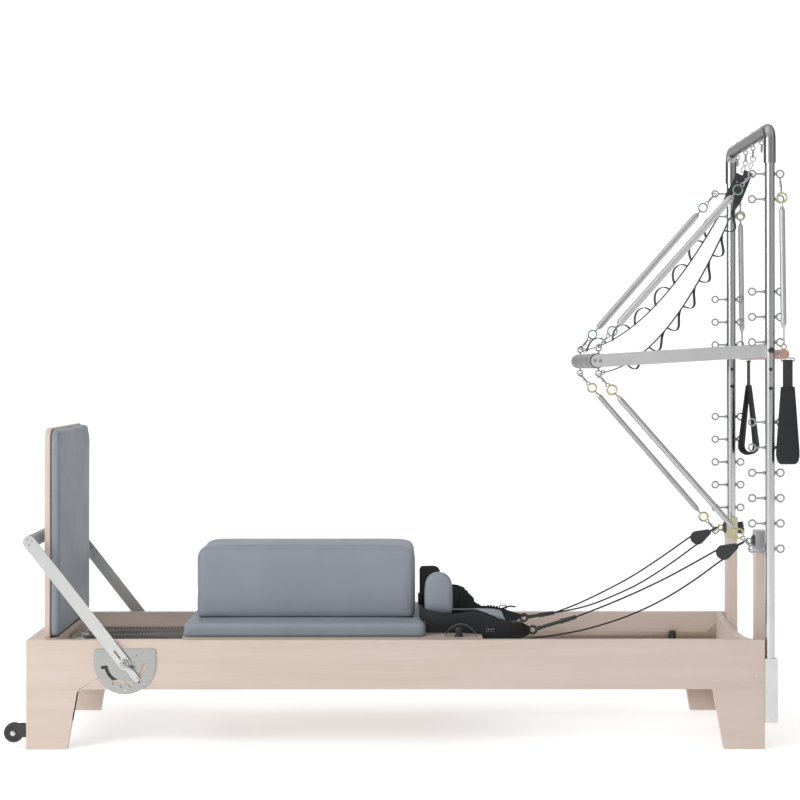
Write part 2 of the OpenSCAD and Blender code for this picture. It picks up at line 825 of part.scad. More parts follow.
module footbar_grip() {
    end_r = 5;
    l = 2 * (arm_y - seat);
    color(leather) at_origin()
        translate([bar_x, l / 2, bar_z])
            rotate([90, 0, 0])
                rotate_extrude() {
                    translate([grip_tube_r, 0]) square([grip_r - grip_tube_r - end_r, l]);
                    translate([grip_tube_r, end_r]) square([grip_r - grip_tube_r, l - 2 * end_r]);
                    for (y = [end_r, l - end_r])
                        translate([grip_r - end_r, y]) circle(end_r);
                }
}

// Pivot bolts of the footbar and the push-through bar, and the screws that show
module bolts_and_screws() {
    color(steel) at_origin() both_sides() {
        rod([pivot_x, -inner_y, footbar_z], [pivot_x, -arm_y - arm_t - 2, footbar_z], pivot_r);
        rod([pivot_x, -arm_y - arm_t - seat, footbar_z],
            [pivot_x, -arm_y - arm_t - pivot_head, footbar_z], 13);
        rod([post_x, -push_y, push_z], [post_x, -post_y - post_r - 2, push_z], 6);
        rod([post_x, -post_y - post_r - 0.4, push_z],
            [post_x, -post_y - post_r - 6, push_z], 10);
        rod([post_x, -push_y + seat, push_z], [post_x, -push_y + 6, push_z], 10);
        for (z = [socket_z + 25, socket_z + socket_h - 25])
            rod([post_x + 16, -post_y - 19.8, z], [post_x + 16, -post_y - 18.55, z], 3.5);
        for (z = [120, 240])
            rod([head_x - head_inset - end_t / 2, -half_w - 1.2, z],
                [head_x - head_inset - end_t / 2, -half_w + 0.3, z], 5);
    }
}

// Aluminium sockets on the ends of the rails that hold the posts
module tower_sockets() {
    w = 37;
    l = 42;
    floor_t = 6;
    edge = 4;
    color([0.78, 0.80, 0.82]) at_origin() both_sides() difference() {
        translate([head_x, -post_y - w / 2, socket_z]) linear_extrude(socket_h) {
            square([l - edge, w]);
            translate([0, edge]) square([l, w - 2 * edge]);
            for (y = [edge, w - edge])
                translate([l - edge, y]) circle(edge);
        }
        translate([post_x, -post_y, socket_z + floor_t])
            cylinder(r = post_r + fit, h = socket_h);
    }
}

module tower_post() {
    foot = socket_z + 6;
    color(steel) at_origin() translate([post_x, -post_y, 0]) difference() {
        translate([0, 0, foot]) cylinder(r = post_r, h = post_top - foot);
        translate([0, 0, foot - 1])
            cylinder(r = post_r - post_wall, h = post_top - foot + 2);
        for (z = eye_rows)
            translate([-post_r - 1, 0, z])
                rotate([0, 90, 0]) cylinder(r = shank_r + 0.2, h = 2 * post_r + 2);
        translate([0, post_r + 1, push_z])
            rotate([90, 0, 0]) cylinder(r = 6 + fit, h = 2 * post_r + 2);
        for (z = spare_holes)
            translate([0, post_r + 1, z])
                rotate([90, 0, 0]) cylinder(r = 6 + fit, h = 2 * post_r + 2);
    }
}

module tower_post_front() {
    tower_post();
}

module tower_post_rear() {
    mirror([0, 1, 0]) tower_post();
}

// The bent top bar, whose ends are sleeves over the posts
module bow_path(r, below) {
    both_sides() {
        translate([0, -post_y, sleeve_z - below]) cylinder(r = r, h = bow_sleeve + below);
        translate([0, -post_y + bow_bend, bow_z - bow_bend])
            rotate([90, 0, -90])
                rotate_extrude(angle = 90)
                    translate([bow_bend, 0]) circle(r);
    }
    rod([0, -post_y + bow_bend, bow_z], [0, post_y - bow_bend, bow_z], r);
}

module tower_bow() {
    color(steel) at_origin() translate([post_x, 0, 0]) difference() {
        bow_path(bow_r, 0);
        bow_path(post_r + fit, 1);
        for (y = [-bow_eye_y, -bow_eye_mid_y, bow_eye_mid_y, bow_eye_y])
            translate([0, y, bow_z - bow_r - 1])
                cylinder(r = shank_r + 0.2, h = 2 * bow_r + 2);
    }
}

// One eyebolt through a post: a wire eye on each side and a collar against the post
module post_eyebolt(z) {
    gap = post_r + 0.2;
    ring([-eye_reach, 0, z], eye_r, eye_wire);
    ring([eye_back, 0, z], eye_r + 0.5, eye_wire);
    rod([-eye_reach + eye_r, 0, z], [eye_back - eye_r - 0.5, 0, z], shank_r);
    translate([-gap, 0, z]) rotate([0, -90, 0]) cylinder(r1 = 6.5, r2 = shank_r, h = 11);
    translate([gap, 0, z]) rotate([0, 90, 0]) cylinder(r = 6, h = 3);
}

module post_eyebolts() {
    color(steel) at_origin() translate([post_x, -post_y, 0])
        for (z = eye_rows) post_eyebolt(z);
}

module eyebolts_front() {
    post_eyebolts();
}

module eyebolts_rear() {
    mirror([0, 1, 0]) post_eyebolts();
}

// Eyebolts that hang under the top bar, each with a second ring
module bow_eyebolts() {
    color(steel) at_origin()
        for (y = [-bow_eye_y, -bow_eye_mid_y, bow_eye_mid_y, bow_eye_y])
            translate([post_x, y, 0]) {
                rod([0, 0, bow_eye_z + 6], [0, 0, bow_z + bow_r + 5], shank_r);
                translate([0, 0, bow_z + bow_r - 0.8]) cylinder(r = 6, h = 5);
                ring([0, 0, bow_eye_z], 7, 2);
                ring([0, 0, bow_ring_z + 8], 11, 2.2, 90);
            }
}

// Black brackets of the transport wheels, with their axles
module wheel_brackets() {
    gap = roller_w / 2 + 1;
    cheek = 3;
    color(black) at_origin() both_sides() translate([0, -inner_y - panel_t / 2, 0]) {
        for (y = [-gap - cheek, gap])
            translate([foot_x - roller_out, y + cheek, roller_z])
                rotate([90, 0, 0]) linear_extrude(cheek) {
                    circle(14);
                    translate([0, -14]) square([roller_out, 42]);
                }
        translate([foot_x - 4, -gap - cheek, roller_z - 14]) cube([4, 2 * (gap + cheek), 42]);
        rod([foot_x - roller_out, -gap - cheek - 3, roller_z],
            [foot_x - roller_out, gap + cheek + 3, roller_z], roller_axle);
    }
}

module transport_wheels() {
    groove = 2;
    color(black) at_origin() both_sides()
        translate([foot_x - roller_out, -inner_y - panel_t / 2 - roller_w / 2, roller_z])
            rotate([-90, 0, 0]) difference() {
                rotate_extrude() {
                    translate([roller_axle + fit, 0]) square([14, roller_w]);
                    translate([roller_axle + 8, 3]) square([12, roller_w - 6]);
                    translate([roller_r - 10, 0.5]) square([10 - groove, roller_w - 1]);
                    translate([roller_r - 6, groove + 0.5])
                        square([6, roller_w - 2 * groove - 1]);
                    for (y = [groove + 0.5, roller_w - groove - 0.5])
                        translate([roller_r - groove, y]) circle(groove);
                }
            }
}

// A ladder strap: a ribbon with a row of half-round hand holds on one side
module ladder_strap(a, b, sag, side, holds) {
    t = 2.5;
    hold_r = 27;
    w = 25;
    n = 18;
    turn = atan2(b[1] - a[1], b[0] - a[0]);
    run = norm([b[0] - a[0], b[1] - a[1]]);
    line = [for (k = [0:n]) [run, b[2] - a[2]] * k / n - [0, sag * 4 * k * (n - k) / (n * n)]];
    translate(a) rotate([0, 0, turn]) rotate([90, 0, 0])
        translate([0, 0, -w / 2]) linear_extrude(w) {
            polygon([for (s = [1, -1]) for (i = [0:n]) let (k = s > 0 ? i : n - i,
                d = unit(line[min(k + 1, n)] - line[max(k - 1, 0)]))
                    line[k] + s * [-d[1], d[0]] * t / 2]);
            for (k = holds) let (d = unit(line[k + 1] - line[k - 1]) * side)
                translate(line[k]) rotate(atan2(-d[0], d[1])) difference() {
                    intersection() {
                        circle(hold_r);
                        translate([0, -hold_r]) square([hold_r, 2 * hold_r]);
                    }
                    circle(hold_r - t);
                }
        }
}

module ladder_straps() {
    eye_top = [push_eye_x + push_eye_r + 3.6, push_eye_y, tube_z + push_eye_out - 2.6];
    eye_low = [push_eye_x + 8.3, 3.5 - push_eye_y, tube_z - push_eye_out + 8.5];
    color(black) at_origin() {
        ladder_strap([post_x, -bow_eye_mid_y, bow_ring_z - 6], eye_low, 40, 1, [4:2:14]);
        ladder_strap([post_x, bow_eye_mid_y, bow_ring_z - 6], eye_top, 62, -1, [4:2:14]);
    }
}

// The snap link, ring and neck at one end of a spring, from the eye at a towards w
module spring_end(a, w, hold_r, hold_wire, link, lead) {
    turn = atan2(w[1], w[0]);
    hook_r = 8;
    hook_wire = 1.9;
    reach = hold_r + hook_r - hold_wire - hook_wire - 0.2;
    translate(a + w * reach) rotate([0, -asin(w[2]), turn])
        rotate_extrude() translate([hook_r, 0]) circle(hook_wire);
    rod(a + w * (reach + hook_r), a + w * (link - ring_r), 2.4);
    ring(a + w * link, ring_r, ring_wire, turn);
    rod(a + w * (link + ring_r), a + w * (link + ring_r + lead), 2.4);
}

// A long spring between an eye at a and an eye at b
module hung_spring(a, ra, wa, b, rb, wb, d, link) {
    w = unit(b - a);
    lead = 21;
    spring_end(a, w, ra, wa, link, lead);
    spring_end(b, -w, rb, wb, link, lead);
    coil(a + w * (link + ring_r + lead - 3), b - w * (link + ring_r + lead - 3), d,
        spring_turns, spring_wire);
}

module upper_springs() {
    color(steel) at_origin() both_sides() mirror([0, 1, 0])
        hung_spring(upper_a, eye_r, eye_wire, upper_b, push_eye_r, push_eye_wire, upper_d, 68);
}

module lower_springs() {
    color(steel) at_origin() both_sides() mirror([0, 1, 0])
        hung_spring(lower_a, push_eye_r, push_eye_wire, lower_b, eye_r, eye_wire, lower_d, 66);
}

module rope_front() {
    color(black) at_origin() tube(smooth(front_route, 2), rope_d / 2);
}

module rope_rear() {
    color(black) at_origin() tube(smooth(rear_route, 2), rope_d / 2);
}

// A pulley block: two cheeks, a neck and a swivel ring through the riser's eye
module pulley_block() {
    tail = 52;
    at_origin() translate([sheave_x, -riser_y, sheave_z]) rotate([0, -block_tilt, 0]) {
        for (y = [-cheek_y - cheek_t, cheek_y])
            translate([0, y + cheek_t, 0])
                rotate([90, 0, 0]) linear_extrude(cheek_t) teardrop2d(24, 10, tail - 10);
        translate([31, -cheek_y, -8]) cube([tail - 33, 2 * cheek_y, 16]);
        rod([0, -cheek_y - cheek_t - 1, 0], [0, cheek_y + cheek_t + 1, 0], sheave_axle);
        rod([tail - 4, 0, 0], [block_l - 0.5 - link_r, 0, 0], 4);
        translate([block_l - 0.5, 0, 0]) rotate_extrude()
            translate([link_r, 0]) circle(link_wire);
    }
}

module pulley_block_front() {
    color(black) pulley_block();
}

module pulley_block_rear() {
    color(black) mirror([0, 1, 0]) pulley_block();
}

module pulley_sheave() {
    at_origin() translate([sheave_x, -riser_y - sheave_w / 2, sheave_z])
        rotate([-90, 0, 0]) rotate_extrude() difference() {
            translate([sheave_axle + fit, 0]) square([sheave_r - sheave_axle - fit, sheave_w]);
            translate([sheave_path, sheave_w / 2]) circle(rope_d / 2 + 1);
            translate([sheave_path, sheave_w / 2 - rope_d / 2 - 1])
                square([10, rope_d + 2]);
        }
}

module pulley_sheave_front() {
    color([0.7, 0.7, 0.7]) pulley_sheave();
}

module pulley_sheave_rear() {
    color([0.7, 0.7, 0.7]) mirror([0, 1, 0]) pulley_sheave();
}

module jumpboard_panel() {
    corner = 42;
    color(wood) at_origin()
        translate([board_back, 0, board_foot])
            rotate([90, 0, 90]) linear_extrude(board_t) {
                translate([-board_w / 2, 0]) square([board_w, board_h - corner]);
                translate([-board_w / 2 + corner, 0]) square([board_w - 2 * corner, board_h]);
                for (s = [-1, 1])
                    translate([s * (board_w / 2 - corner), board_h - corner]) circle(corner);
            }
}

module jumpboard_pad() {
    margin = 4;
    w = board_w - 2 * margin;
    h = board_h - 2 * margin;
    color(leather) at_origin()
        translate([board_front, 0, board_foot + margin + h / 2])
            rotate([90, 0, 90])
                cushion(w, h, board_pad_t, [40, 40, 12, 12], 11, 3, 1, 4, 1);
}

module jumpboard_pegs() {
    color(steel) at_origin() both_sides()
        translate([board_back + board_t / 2, -board_w / 3, rail_top - foot_deck_t - 8])
            cylinder(r = board_peg_r, h = foot_deck_t + 8 + seat);
}

module push_bar_arms() {
    color([0.8, 0.8, 0.81]) at_origin() both_sides()
        translate([0, 0, 0]) wall_plate(post_x, push_z, push_y, push_t)
            rotate(180 + push_drop) difference() {
                bar2d(push_l, push_w / 2);
                circle(6 + fit);
                for (s = [-1, 1])
                    translate([push_l + s * tube_bolt_gap / 2, 0]) circle(3.2);
            }
}

module push_bar_tube() {
    end_plug = 25;
    color([0.35, 0.35, 0.36]) at_origin() difference() {
        rod([tube_x, -push_y, tube_z], [tube_x, push_y, tube_z], push_tube_r);
        rod([tube_x, -push_y + end_plug, tube_z], [tube_x, push_y - end_plug, tube_z],
            push_tube_r - 3);
        for (y = [-push_eye_y, push_eye_y])
            translate([push_eye_x, y, tube_z - push_tube_r - 1])
                cylinder(r = shank_r + 0.2, h = 2 * push_tube_r + 2);
    }
}

module push_bar_eyebolts() {
    color(steel) at_origin() both_sides() {
        rod([push_eye_x, -push_eye_y, tube_z - push_eye_out + push_eye_r],
            [push_eye_x, -push_eye_y, tube_z + push_eye_out - push_eye_r], shank_r);
        for (s = [-1, 1])
            ring([push_eye_x, -push_eye_y, tube_z + s * push_eye_out], push_eye_r,
                push_eye_wire);
        for (s = [-1, 1])
            rod([tube_x + s * tube_bolt_gap / 2, -push_y - push_t - 2.5, tube_z],
                [tube_x + s * tube_bolt_gap / 2, -push_y - push_t, tube_z], 5);
    }
}

module roll_down_dowel() {
    color([0.85, 0.72, 0.64]) at_origin()
        rod([dowel_x, -roll_y - 10, dowel_z], [dowel_x, roll_y + 10, dowel_z], dowel_r);
}

// Springs that carry the dowel, with their clips, rings and the bars for the hand loops
module roll_down_springs() {
    clip_r = 8;
    top = [roll_x, -post_y, roll_pivot_z];
    hang = [roll_x + 3, -roll_y, top_eye_z - 79];
    hook = [dowel_x, -roll_y, dowel_z + dowel_r + 8];
    w = unit(hook - hang);
    color(steel) at_origin() {
        both_sides() {
            translate(top + [0, 0, -3.2]) rotate([90, 0, 90]) rotate_extrude()
                translate([clip_r, 0]) circle(1.9);
            rod(top + [0, 0, -3.2 - clip_r], hang + [0, 0, ring_r], 2.4);
            ring(hang, ring_r, ring_wire, 0);
            rod(hang + w * ring_r, hang + w * (ring_r + 12), 2.4);
            coil(hang + w * (ring_r + 12), hook - w * 60, roll_d, roll_turns, 4.5);
            rod(hook - w * 60, hook - w * 8, 3);
            ring(hook, 8, 2.2, 0);
        }
        hand_bar(-front_hand_y, 0);
        hand_bar(rear_hand_y, rear_hand_turn);
    }
}

// A wire stirrup under the dowel that a hand loop hangs from
module hand_bar(y, turn) {
    half = (strap_w / 2 + 5) * [cos(turn), sin(turn), 0];
    rise = [0, 0, 9];
    translate([hand_x, y, hand_bar_z]) {
        rod(-half, half, hand_bar_r);
        for (e = [-half, half]) {
            translate(e) sphere(hand_bar_r + 0.5);
            rod(e, e + rise, hand_bar_r);
            translate(e + rise) sphere(hand_bar_r + 0.5);
            rod(e + rise, [dowel_x - hand_x, e[1], dowel_r - 3], hand_bar_r);
        }
    }
}

// Webbing that wraps the stirrup's bar, over a padded loop
module hand_loop(open) {
    wrap = hand_bar_r + 0.4;
    top_r = hand_t - 2;
    low_r = open / 2;
    pad_top_z = -hand_strap_l;
    reach = hand_l - low_r - top_r;
    hole_r = low_r - hand_t;
    difference() {
        union() {
            translate([-strap_w / 2, 0, 0]) rotate([0, 90, 0])
                cylinder(r = wrap + 2.2, h = strap_w);
            translate([-strap_w / 2, -2.2, pad_top_z - 6])
                cube([strap_w, 4.4, hand_strap_l + 4]);
            intersection() {
                translate([-hand_w / 2, 0, pad_top_z - hand_l + low_r])
                    rotate([0, -90, 180]) linear_extrude(hand_w) difference() {
                        teardrop2d(low_r, top_r, reach);
                        teardrop2d(hole_r, 1, reach - top_r);
                    }
                translate([0, open, pad_top_z])
                    rotate([90, 0, 0]) linear_extrude(2 * open)
                        polygon([[-hand_top_w / 2, 0], [hand_top_w / 2, 0],
                            [hand_w / 2, 36 - hand_l], [hand_w / 2, 24 - hand_l],
                            [hand_w / 2 - 15, -hand_l], [15 - hand_w / 2, -hand_l],
                            [-hand_w / 2, 24 - hand_l], [-hand_w / 2, 36 - hand_l]]);
            }
        }
        translate([-strap_w, 0, 0]) rotate([0, 90, 0]) cylinder(r = wrap, h = 2 * strap_w);
    }
}

module hand_loop_front() {
    color(black) at_origin() translate([hand_x, -front_hand_y, hand_bar_z])
        hand_loop(front_open);
}

module hand_loop_rear() {
    color(black) at_origin() translate([hand_x, rear_hand_y, hand_bar_z])
        rotate([0, 0, rear_hand_turn]) hand_loop(rear_open);
}

module carriage_deck() {
    color(wood) at_origin() difference() {
        translate([deck_x, -deck_w / 2, deck_z]) cube([deck_l, deck_w, deck_t]);
        both_sides() translate([rest_x, -rest_y, deck_z - 1])
            cylinder(r = rest_peg_r + seat, h = deck_t + 2);
    }
}

module carriage_pad() {
    color(leather) at_origin()
        translate([deck_x + pad_l / 2, 0, deck_top])
            cushion(pad_l, deck_w, pad_t, [22, 22, 22, 22], 12, pad_crown, 1, 3, 3);
}

module carriage_chassis() {
    color([0.3, 0.3, 0.31]) at_origin() {
        for (x = [deck_x + beam_in, deck_end - beam_in - beam_t])
            translate([x, -inner_y + 8, beam_z]) cube([beam_t, 2 * inner_y - 16, beam_h]);
        both_sides() {
            translate([deck_x + beam_in + beam_t, -wheel_plate_y - wheel_plate_t, beam_z])
                cube([deck_l - 2 * (beam_in + beam_t), wheel_plate_t, beam_h]);
            for (x = [deck_x + wheel_inset + wheel_r, deck_end - wheel_inset - wheel_r])
                rod([x, -wheel_plate_y - wheel_plate_t, axle_z],
                    [x, -wheel_y - wheel_w / 2 - 2, axle_z], axle_r);
            ring([cleat_x - 1, -cleat_y, cleat_z], 5.5, 1.6, 90);
            rod([deck_end - beam_in, -cleat_y + 5.5, cleat_z],
                [cleat_x - 1, -cleat_y + 5.5, cleat_z], 2.5);
        }
    }
}

module carriage_wheel_pair(x) {
    at_origin() both_sides() translate([x, -wheel_y - wheel_w / 2, axle_z])
        rotate([-90, 0, 0]) rotate_extrude() {
            translate([axle_r + fit, 0]) square([6, wheel_w]);
            translate([axle_r + 5, 4]) square([wheel_r - axle_r - 9, wheel_w - 8]);
            translate([wheel_r - 6, 1]) square([5, wheel_w - 2]);
            translate([wheel_r - 6, 2]) square([6, wheel_w - 4]);
            for (y = [2, wheel_w - 2])
                translate([wheel_r - 1, y]) circle(1);
        }
}

module carriage_wheels_foot() {
    color([0.25, 0.25, 0.26]) carriage_wheel_pair(deck_x + wheel_inset + wheel_r);
}

module carriage_wheels_head() {
    color([0.25, 0.25, 0.26]) carriage_wheel_pair(deck_end - wheel_inset - wheel_r);
}

module shoulder_rest(x, l, h, r) {
    translate([x, -rest_y + rest_t / 2, deck_top + rest_base_h + h / 2])
        rotate([90, 0, 0])
            cushion(l, h, rest_t, r, 12, 3, 0.5, 5, 0);
}

module shoulder_rest_front() {
    color(leather) at_origin()
        shoulder_rest(rest_x, rest_l, rest_h, [45, 45, 8, 8]);
}

module shoulder_rest_rear() {
    color(leather) at_origin() mirror([0, 1, 0])
        shoulder_rest(rear_rest_x, rear_rest_l, rear_rest_h, [20, 12, 8, 8]);
}

// Black base of a shoulder rest, with the peg that drops into the deck
module shoulder_base() {
    back = rest_x - deck_x - pad_l - 1.5;
    translate([rest_x, 0, deck_top]) {
        translate([0, rest_t / 2 - 4, seat]) rotate([90, 0, 0]) linear_extrude(rest_t - 8)
            polygon([[-back, 0], [rest_foot, 0], [rest_foot, 12],
                [rest_l / 2 - 8, rest_base_h - seat], [-back, rest_base_h - seat]]);
        translate([0, 0, -deck_t]) cylinder(r = rest_peg_r, h = deck_t + 2);
    }
}

// The upright shell on the inner side of a shoulder rest, between two heights above the
// deck, with its top corner radii
module shoulder_shell(x, l, low, top, r_foot, r_head) {
    r = max(r_foot, r_head);
    translate([x, -rest_y + rest_t / 2 + shell_t, deck_top])
        rotate([90, 0, 0]) linear_extrude(shell_t) {
            translate([-l / 2, low]) square([l, top - low - r]);
            translate([-l / 2, low]) square([r_foot + 1, top - low - r_foot]);
            translate([r_foot - l / 2, low]) square([l - r_foot - r_head, top - low]);
            translate([r_foot - l / 2, top - r_foot]) circle(r_foot);
            translate([l / 2 - r_head, top - r_head]) circle(r_head);
        }
}

module shoulder_base_front() {
    color(black) at_origin() {
        translate([0, -rest_y, 0]) shoulder_base();
        shoulder_shell(rest_x, rest_l - 8, rest_base_h - 30, rest_base_h + rest_h - 4, 41, 41);
    }
}

module shoulder_base_rear() {
    color(black) at_origin() mirror([0, 1, 0]) {
        translate([0, -rest_y, 0]) shoulder_base();
        shoulder_shell(rear_rest_x - 5, rear_rest_l + 8, 90, rest_base_h + rear_rest_h + 3,
            14, 22);
    }
}

module loop_pegs() {
    color(black) at_origin() both_sides()
        translate([rest_x + 64, -deck_w / 2 + 18, deck_top])
            rotate_extrude() {
                square([loop_peg_r, 3]);
                square([loop_peg_r - 4, loop_peg_h - 3]);
                translate([0, loop_peg_h - 14]) square([loop_peg_r - 2, 11]);
                translate([0, loop_peg_h - 12]) square([loop_peg_r, 8]);
                translate([0, loop_peg_h - 5]) square([loop_peg_r - 3, 5]);
            }
}

module headrest() {
    color(leather) at_origin()
        translate([headrest_x + headrest_l / 2, 0, deck_top + seat])
            cushion(headrest_l, headrest_w, headrest_t, [30, 30, 18, 18], 11, 4, 2, 3, 1);
}

module sitting_box() {
    color(leather) at_origin()
        translate([deck_x + pad_l - box_gap - box_l / 2, -2.5, pad_top + seat])
            cushion(box_l, box_w, box_h, [20, 20, 20, 20], 26, 8, 2, 3, 2);
}

// A padded foot loop laid round a shoulder rest, drawn together at its ring. Its upper
// edge follows tops; past the end of the deck its lower edge hangs down
module foot_loop_band(tops) {
    droop = 20;
    deck_reach = deck_end - rest_x + 6;
    difference() {
        translate([0, 0, -droop]) linear_extrude(droop + 130) difference() {
            teardrop2d(loop_out, 12, loop_reach);
            teardrop2d(loop_in, 12 - loop_t, loop_reach);
        }
        translate([0, loop_out + 1, 0]) rotate([90, 0, 0]) linear_extrude(2 * loop_out + 2) {
            polygon(concat([[-loop_out - 1, 131]], tops, [[loop_reach + 20, 131]]));
            polygon([[-loop_out - 1, -droop - 1], [-loop_out - 1, 0], [deck_reach, 0],
                [deck_reach + 10, -droop], [loop_reach - 20, -droop],
                [loop_reach + 20, 0], [loop_reach + 20, -droop - 1]]);
        }
    }
}

module foot_loop(y, p, sleeve_end, tops) {
    turn = atan2(p[1] - y, p[0] - rest_x);
    w = unit(sleeve_end - p);
    difference() {
        translate([rest_x, y, deck_top + seat]) rotate([0, 0, turn]) foot_loop_band(tops);
        translate([rest_x - 2 * loop_out, y - 2 * loop_out, deck_top])
            cube([deck_x + pad_l + 1 - rest_x + 2 * loop_out, 4 * loop_out, pad_t + seat]);
    }
    ring(p, 11, 2.5, turn);
    rod(p + w * 10, sleeve_end, rope_d / 2 + 2);
}

module foot_loops() {
    color(black) at_origin() {
        foot_loop(-rest_y, front_ring, front_sleeve,
            [[-loop_out - 1, 88], [50, 74], [110, 68], [132, 62], [168, 48], [220, 38],
                [272, 38], [loop_reach + 20, 18]]);
        foot_loop(rest_y, rear_ring, rear_sleeve,
            [[-loop_out - 1, 86], [30, 94], [50, 114], [70, 113], [88, 96], [104, 91],
                [105, 74], [152, 38], [220, 32], [loop_reach + 20, 4]]);
    }
}

side_panel_front();
side_panel_rear();
foot_end_board();
foot_deck_board();
head_end_board();
tracks();
spring_bar();
carriage_springs();
travel_stops();
risers();
riser_caps();
riser_clips();
footbar_plates();
bolts_and_screws();
tower_sockets();
tower_post_front();
tower_post_rear();
tower_bow();
eyebolts_front();
eyebolts_rear();
bow_eyebolts();
wheel_brackets();
ladder_straps();
upper_springs();
lower_springs();
rope_front();
rope_rear();
transport_wheels();
pulley_block_front();
pulley_block_rear();
pulley_sheave_front();
pulley_sheave_rear();
riser_knob_front();
riser_knob_rear();
footbar_arms();
footbar_grip();
jumpboard_panel();
jumpboard_pad();
jumpboard_pegs();
push_bar_arms();
push_bar_tube();
push_bar_eyebolts();
roll_down_dowel();
roll_down_springs();
hand_loop_front();
hand_loop_rear();
carriage_deck();
carriage_pad();
carriage_chassis();
carriage_wheels_foot();
carriage_wheels_head();
shoulder_rest_front();
shoulder_rest_rear();
shoulder_base_front();
shoulder_base_rear();
loop_pegs();
headrest();
sitting_box();
foot_loops();
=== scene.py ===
"""Upholstery, springs, webbing and finishes of a pilates reformer with a tower."""

import json
import math
from contextlib import contextmanager

import bpy
from mathutils import Matrix, Vector


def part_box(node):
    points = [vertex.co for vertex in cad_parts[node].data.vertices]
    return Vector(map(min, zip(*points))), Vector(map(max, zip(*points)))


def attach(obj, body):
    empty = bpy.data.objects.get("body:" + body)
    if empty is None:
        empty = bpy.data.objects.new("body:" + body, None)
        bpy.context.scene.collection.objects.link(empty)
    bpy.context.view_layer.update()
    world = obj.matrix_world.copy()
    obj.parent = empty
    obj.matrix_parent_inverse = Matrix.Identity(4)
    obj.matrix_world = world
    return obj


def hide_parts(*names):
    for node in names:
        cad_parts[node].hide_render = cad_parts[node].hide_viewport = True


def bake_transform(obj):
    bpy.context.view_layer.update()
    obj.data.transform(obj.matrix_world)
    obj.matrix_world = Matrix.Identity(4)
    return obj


bl_info = {
    "name": "Pilates Reformer with Tower",
    "version": (1, 0, 0),
    "blender": (4, 5, 0),
    "location": "3D View > Sidebar > Reformer",
    "description": "Upholstery, springs, webbing and finishes of a pilates reformer",
    "category": "Add Mesh",
}

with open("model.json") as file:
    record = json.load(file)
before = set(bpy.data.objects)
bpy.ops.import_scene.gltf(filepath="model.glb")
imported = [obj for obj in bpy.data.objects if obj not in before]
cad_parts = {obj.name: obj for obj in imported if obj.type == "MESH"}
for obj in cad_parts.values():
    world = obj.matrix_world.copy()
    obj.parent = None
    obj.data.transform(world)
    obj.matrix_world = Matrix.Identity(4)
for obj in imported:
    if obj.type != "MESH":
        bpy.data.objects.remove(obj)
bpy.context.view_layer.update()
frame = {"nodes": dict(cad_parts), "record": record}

# The drawing's X is measured from here in the frame
MID_X = 1.2195 - sum(c.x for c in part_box("tower_post_front")) / 2

# Places in the drawing and sizes, in millimetres. Y is that of the rear piece of a pair.
POST_X, POST_Y, POST_RADIUS = 1219.5, 347, 16
SPARE_HOLES = (1235, 1173)
PUSH_PIVOT_Z = 1297
PUSH_EYE_X, PUSH_EYE_Y = 666.05, 300
DECK_TOP = 356
REST_X, REST_Y = 143.5, 180
ROLL_Y = 361
DOWEL_X = 1262.5
HAND_X, HAND_Z = 1273.5, 1262
ROLLER = (-1242, 345, 54)
LOOP_RING_X = 456
PIVOT_X, PIVOT_Z = -879, 280
FOOTBAR_X, FOOTBAR_Z = -1188.13, 674.25
BEAM_X = -690.3
# Each hand loop's Y, and its turn
HANDS = {"front": (-368, 0), "rear": (296.25, math.radians(65))}

# Sizes in metres
COIL_PITCH = 0.00305
RING_RADIUS = 0.0155
NECK = 0.0026

# The holds of a ladder strap
HOLDS = 7
HOLD_PITCH = 0.100

UP = Vector((0, 0, 1))
SIDEWAYS = Vector((0, 1, 0))

# The camera, in metres and degrees
CAMERA_AT = (-0.0266, -6.378, 1.240)
CAMERA_TILT, CAMERA_TURN = 90.24, -0.17
LENS = 83.3

# The cloth simulation that fills a cushion
FILL_FRAMES = 20
FILL_SETTINGS = {
    "quality": 4, "mass": 0.3, "tension_stiffness": 20, "compression_stiffness": 20,
    "bending_stiffness": 2, "use_pressure": True, "vertex_group_mass": "Held",
}

# Each lamp: its name, place, size, power and aim
LAMPS = [
    ("Key", (-3.6, -3.2, 2.7), 2.0, 88, (-1.0, 0, 0.6)),
    ("Top", (-0.6, 0.2, 4.8), 3.6, 20, (0, 0, 0)),
]

# The studio's brightness by compass bearing in degrees: 0 is behind the camera,
# -90 at the foot end, 90 at the tower and 180 behind the object
STUDIO = [(-180, 1.15), (-164, 1.15), (-156, 0.26), (-101, 0.18), (-79, 0.40), (-58, 1.6),
          (-36, 0.95), (-14, 0.50), (14, 0.40), (36, 0.50), (58, 0.65), (79, 0.30), (101, 0.14),
          (156, 0.22), (164, 1.15), (180, 1.15)]
WORLD_TOP = 2.0
CEILING = 0.72

# Points of the front rope in the drawing, in metres
FRONT_ROUTE = [
    (0.600, -0.234, 0.414), (0.700, -0.240, 0.454), (0.800, -0.246, 0.498),
    (0.900, -0.252, 0.547), (1.000, -0.260, 0.603), (1.052, -0.264, 0.633),
    (1.077, -0.265, 0.646), (1.086, -0.265, 0.647), (1.096, -0.265, 0.641),
    (1.100, -0.265, 0.630), (1.093, -0.265, 0.616), (1.060, -0.265, 0.593),
    (1.000, -0.266, 0.549), (0.920, -0.268, 0.497), (0.840, -0.270, 0.454),
    (0.740, -0.272, 0.412), (0.620, -0.276, 0.377), (0.520, -0.279, 0.359),
    (0.420, -0.282, 0.346), (0.340, -0.284, 0.335), (0.295, -0.284, 0.332),
]
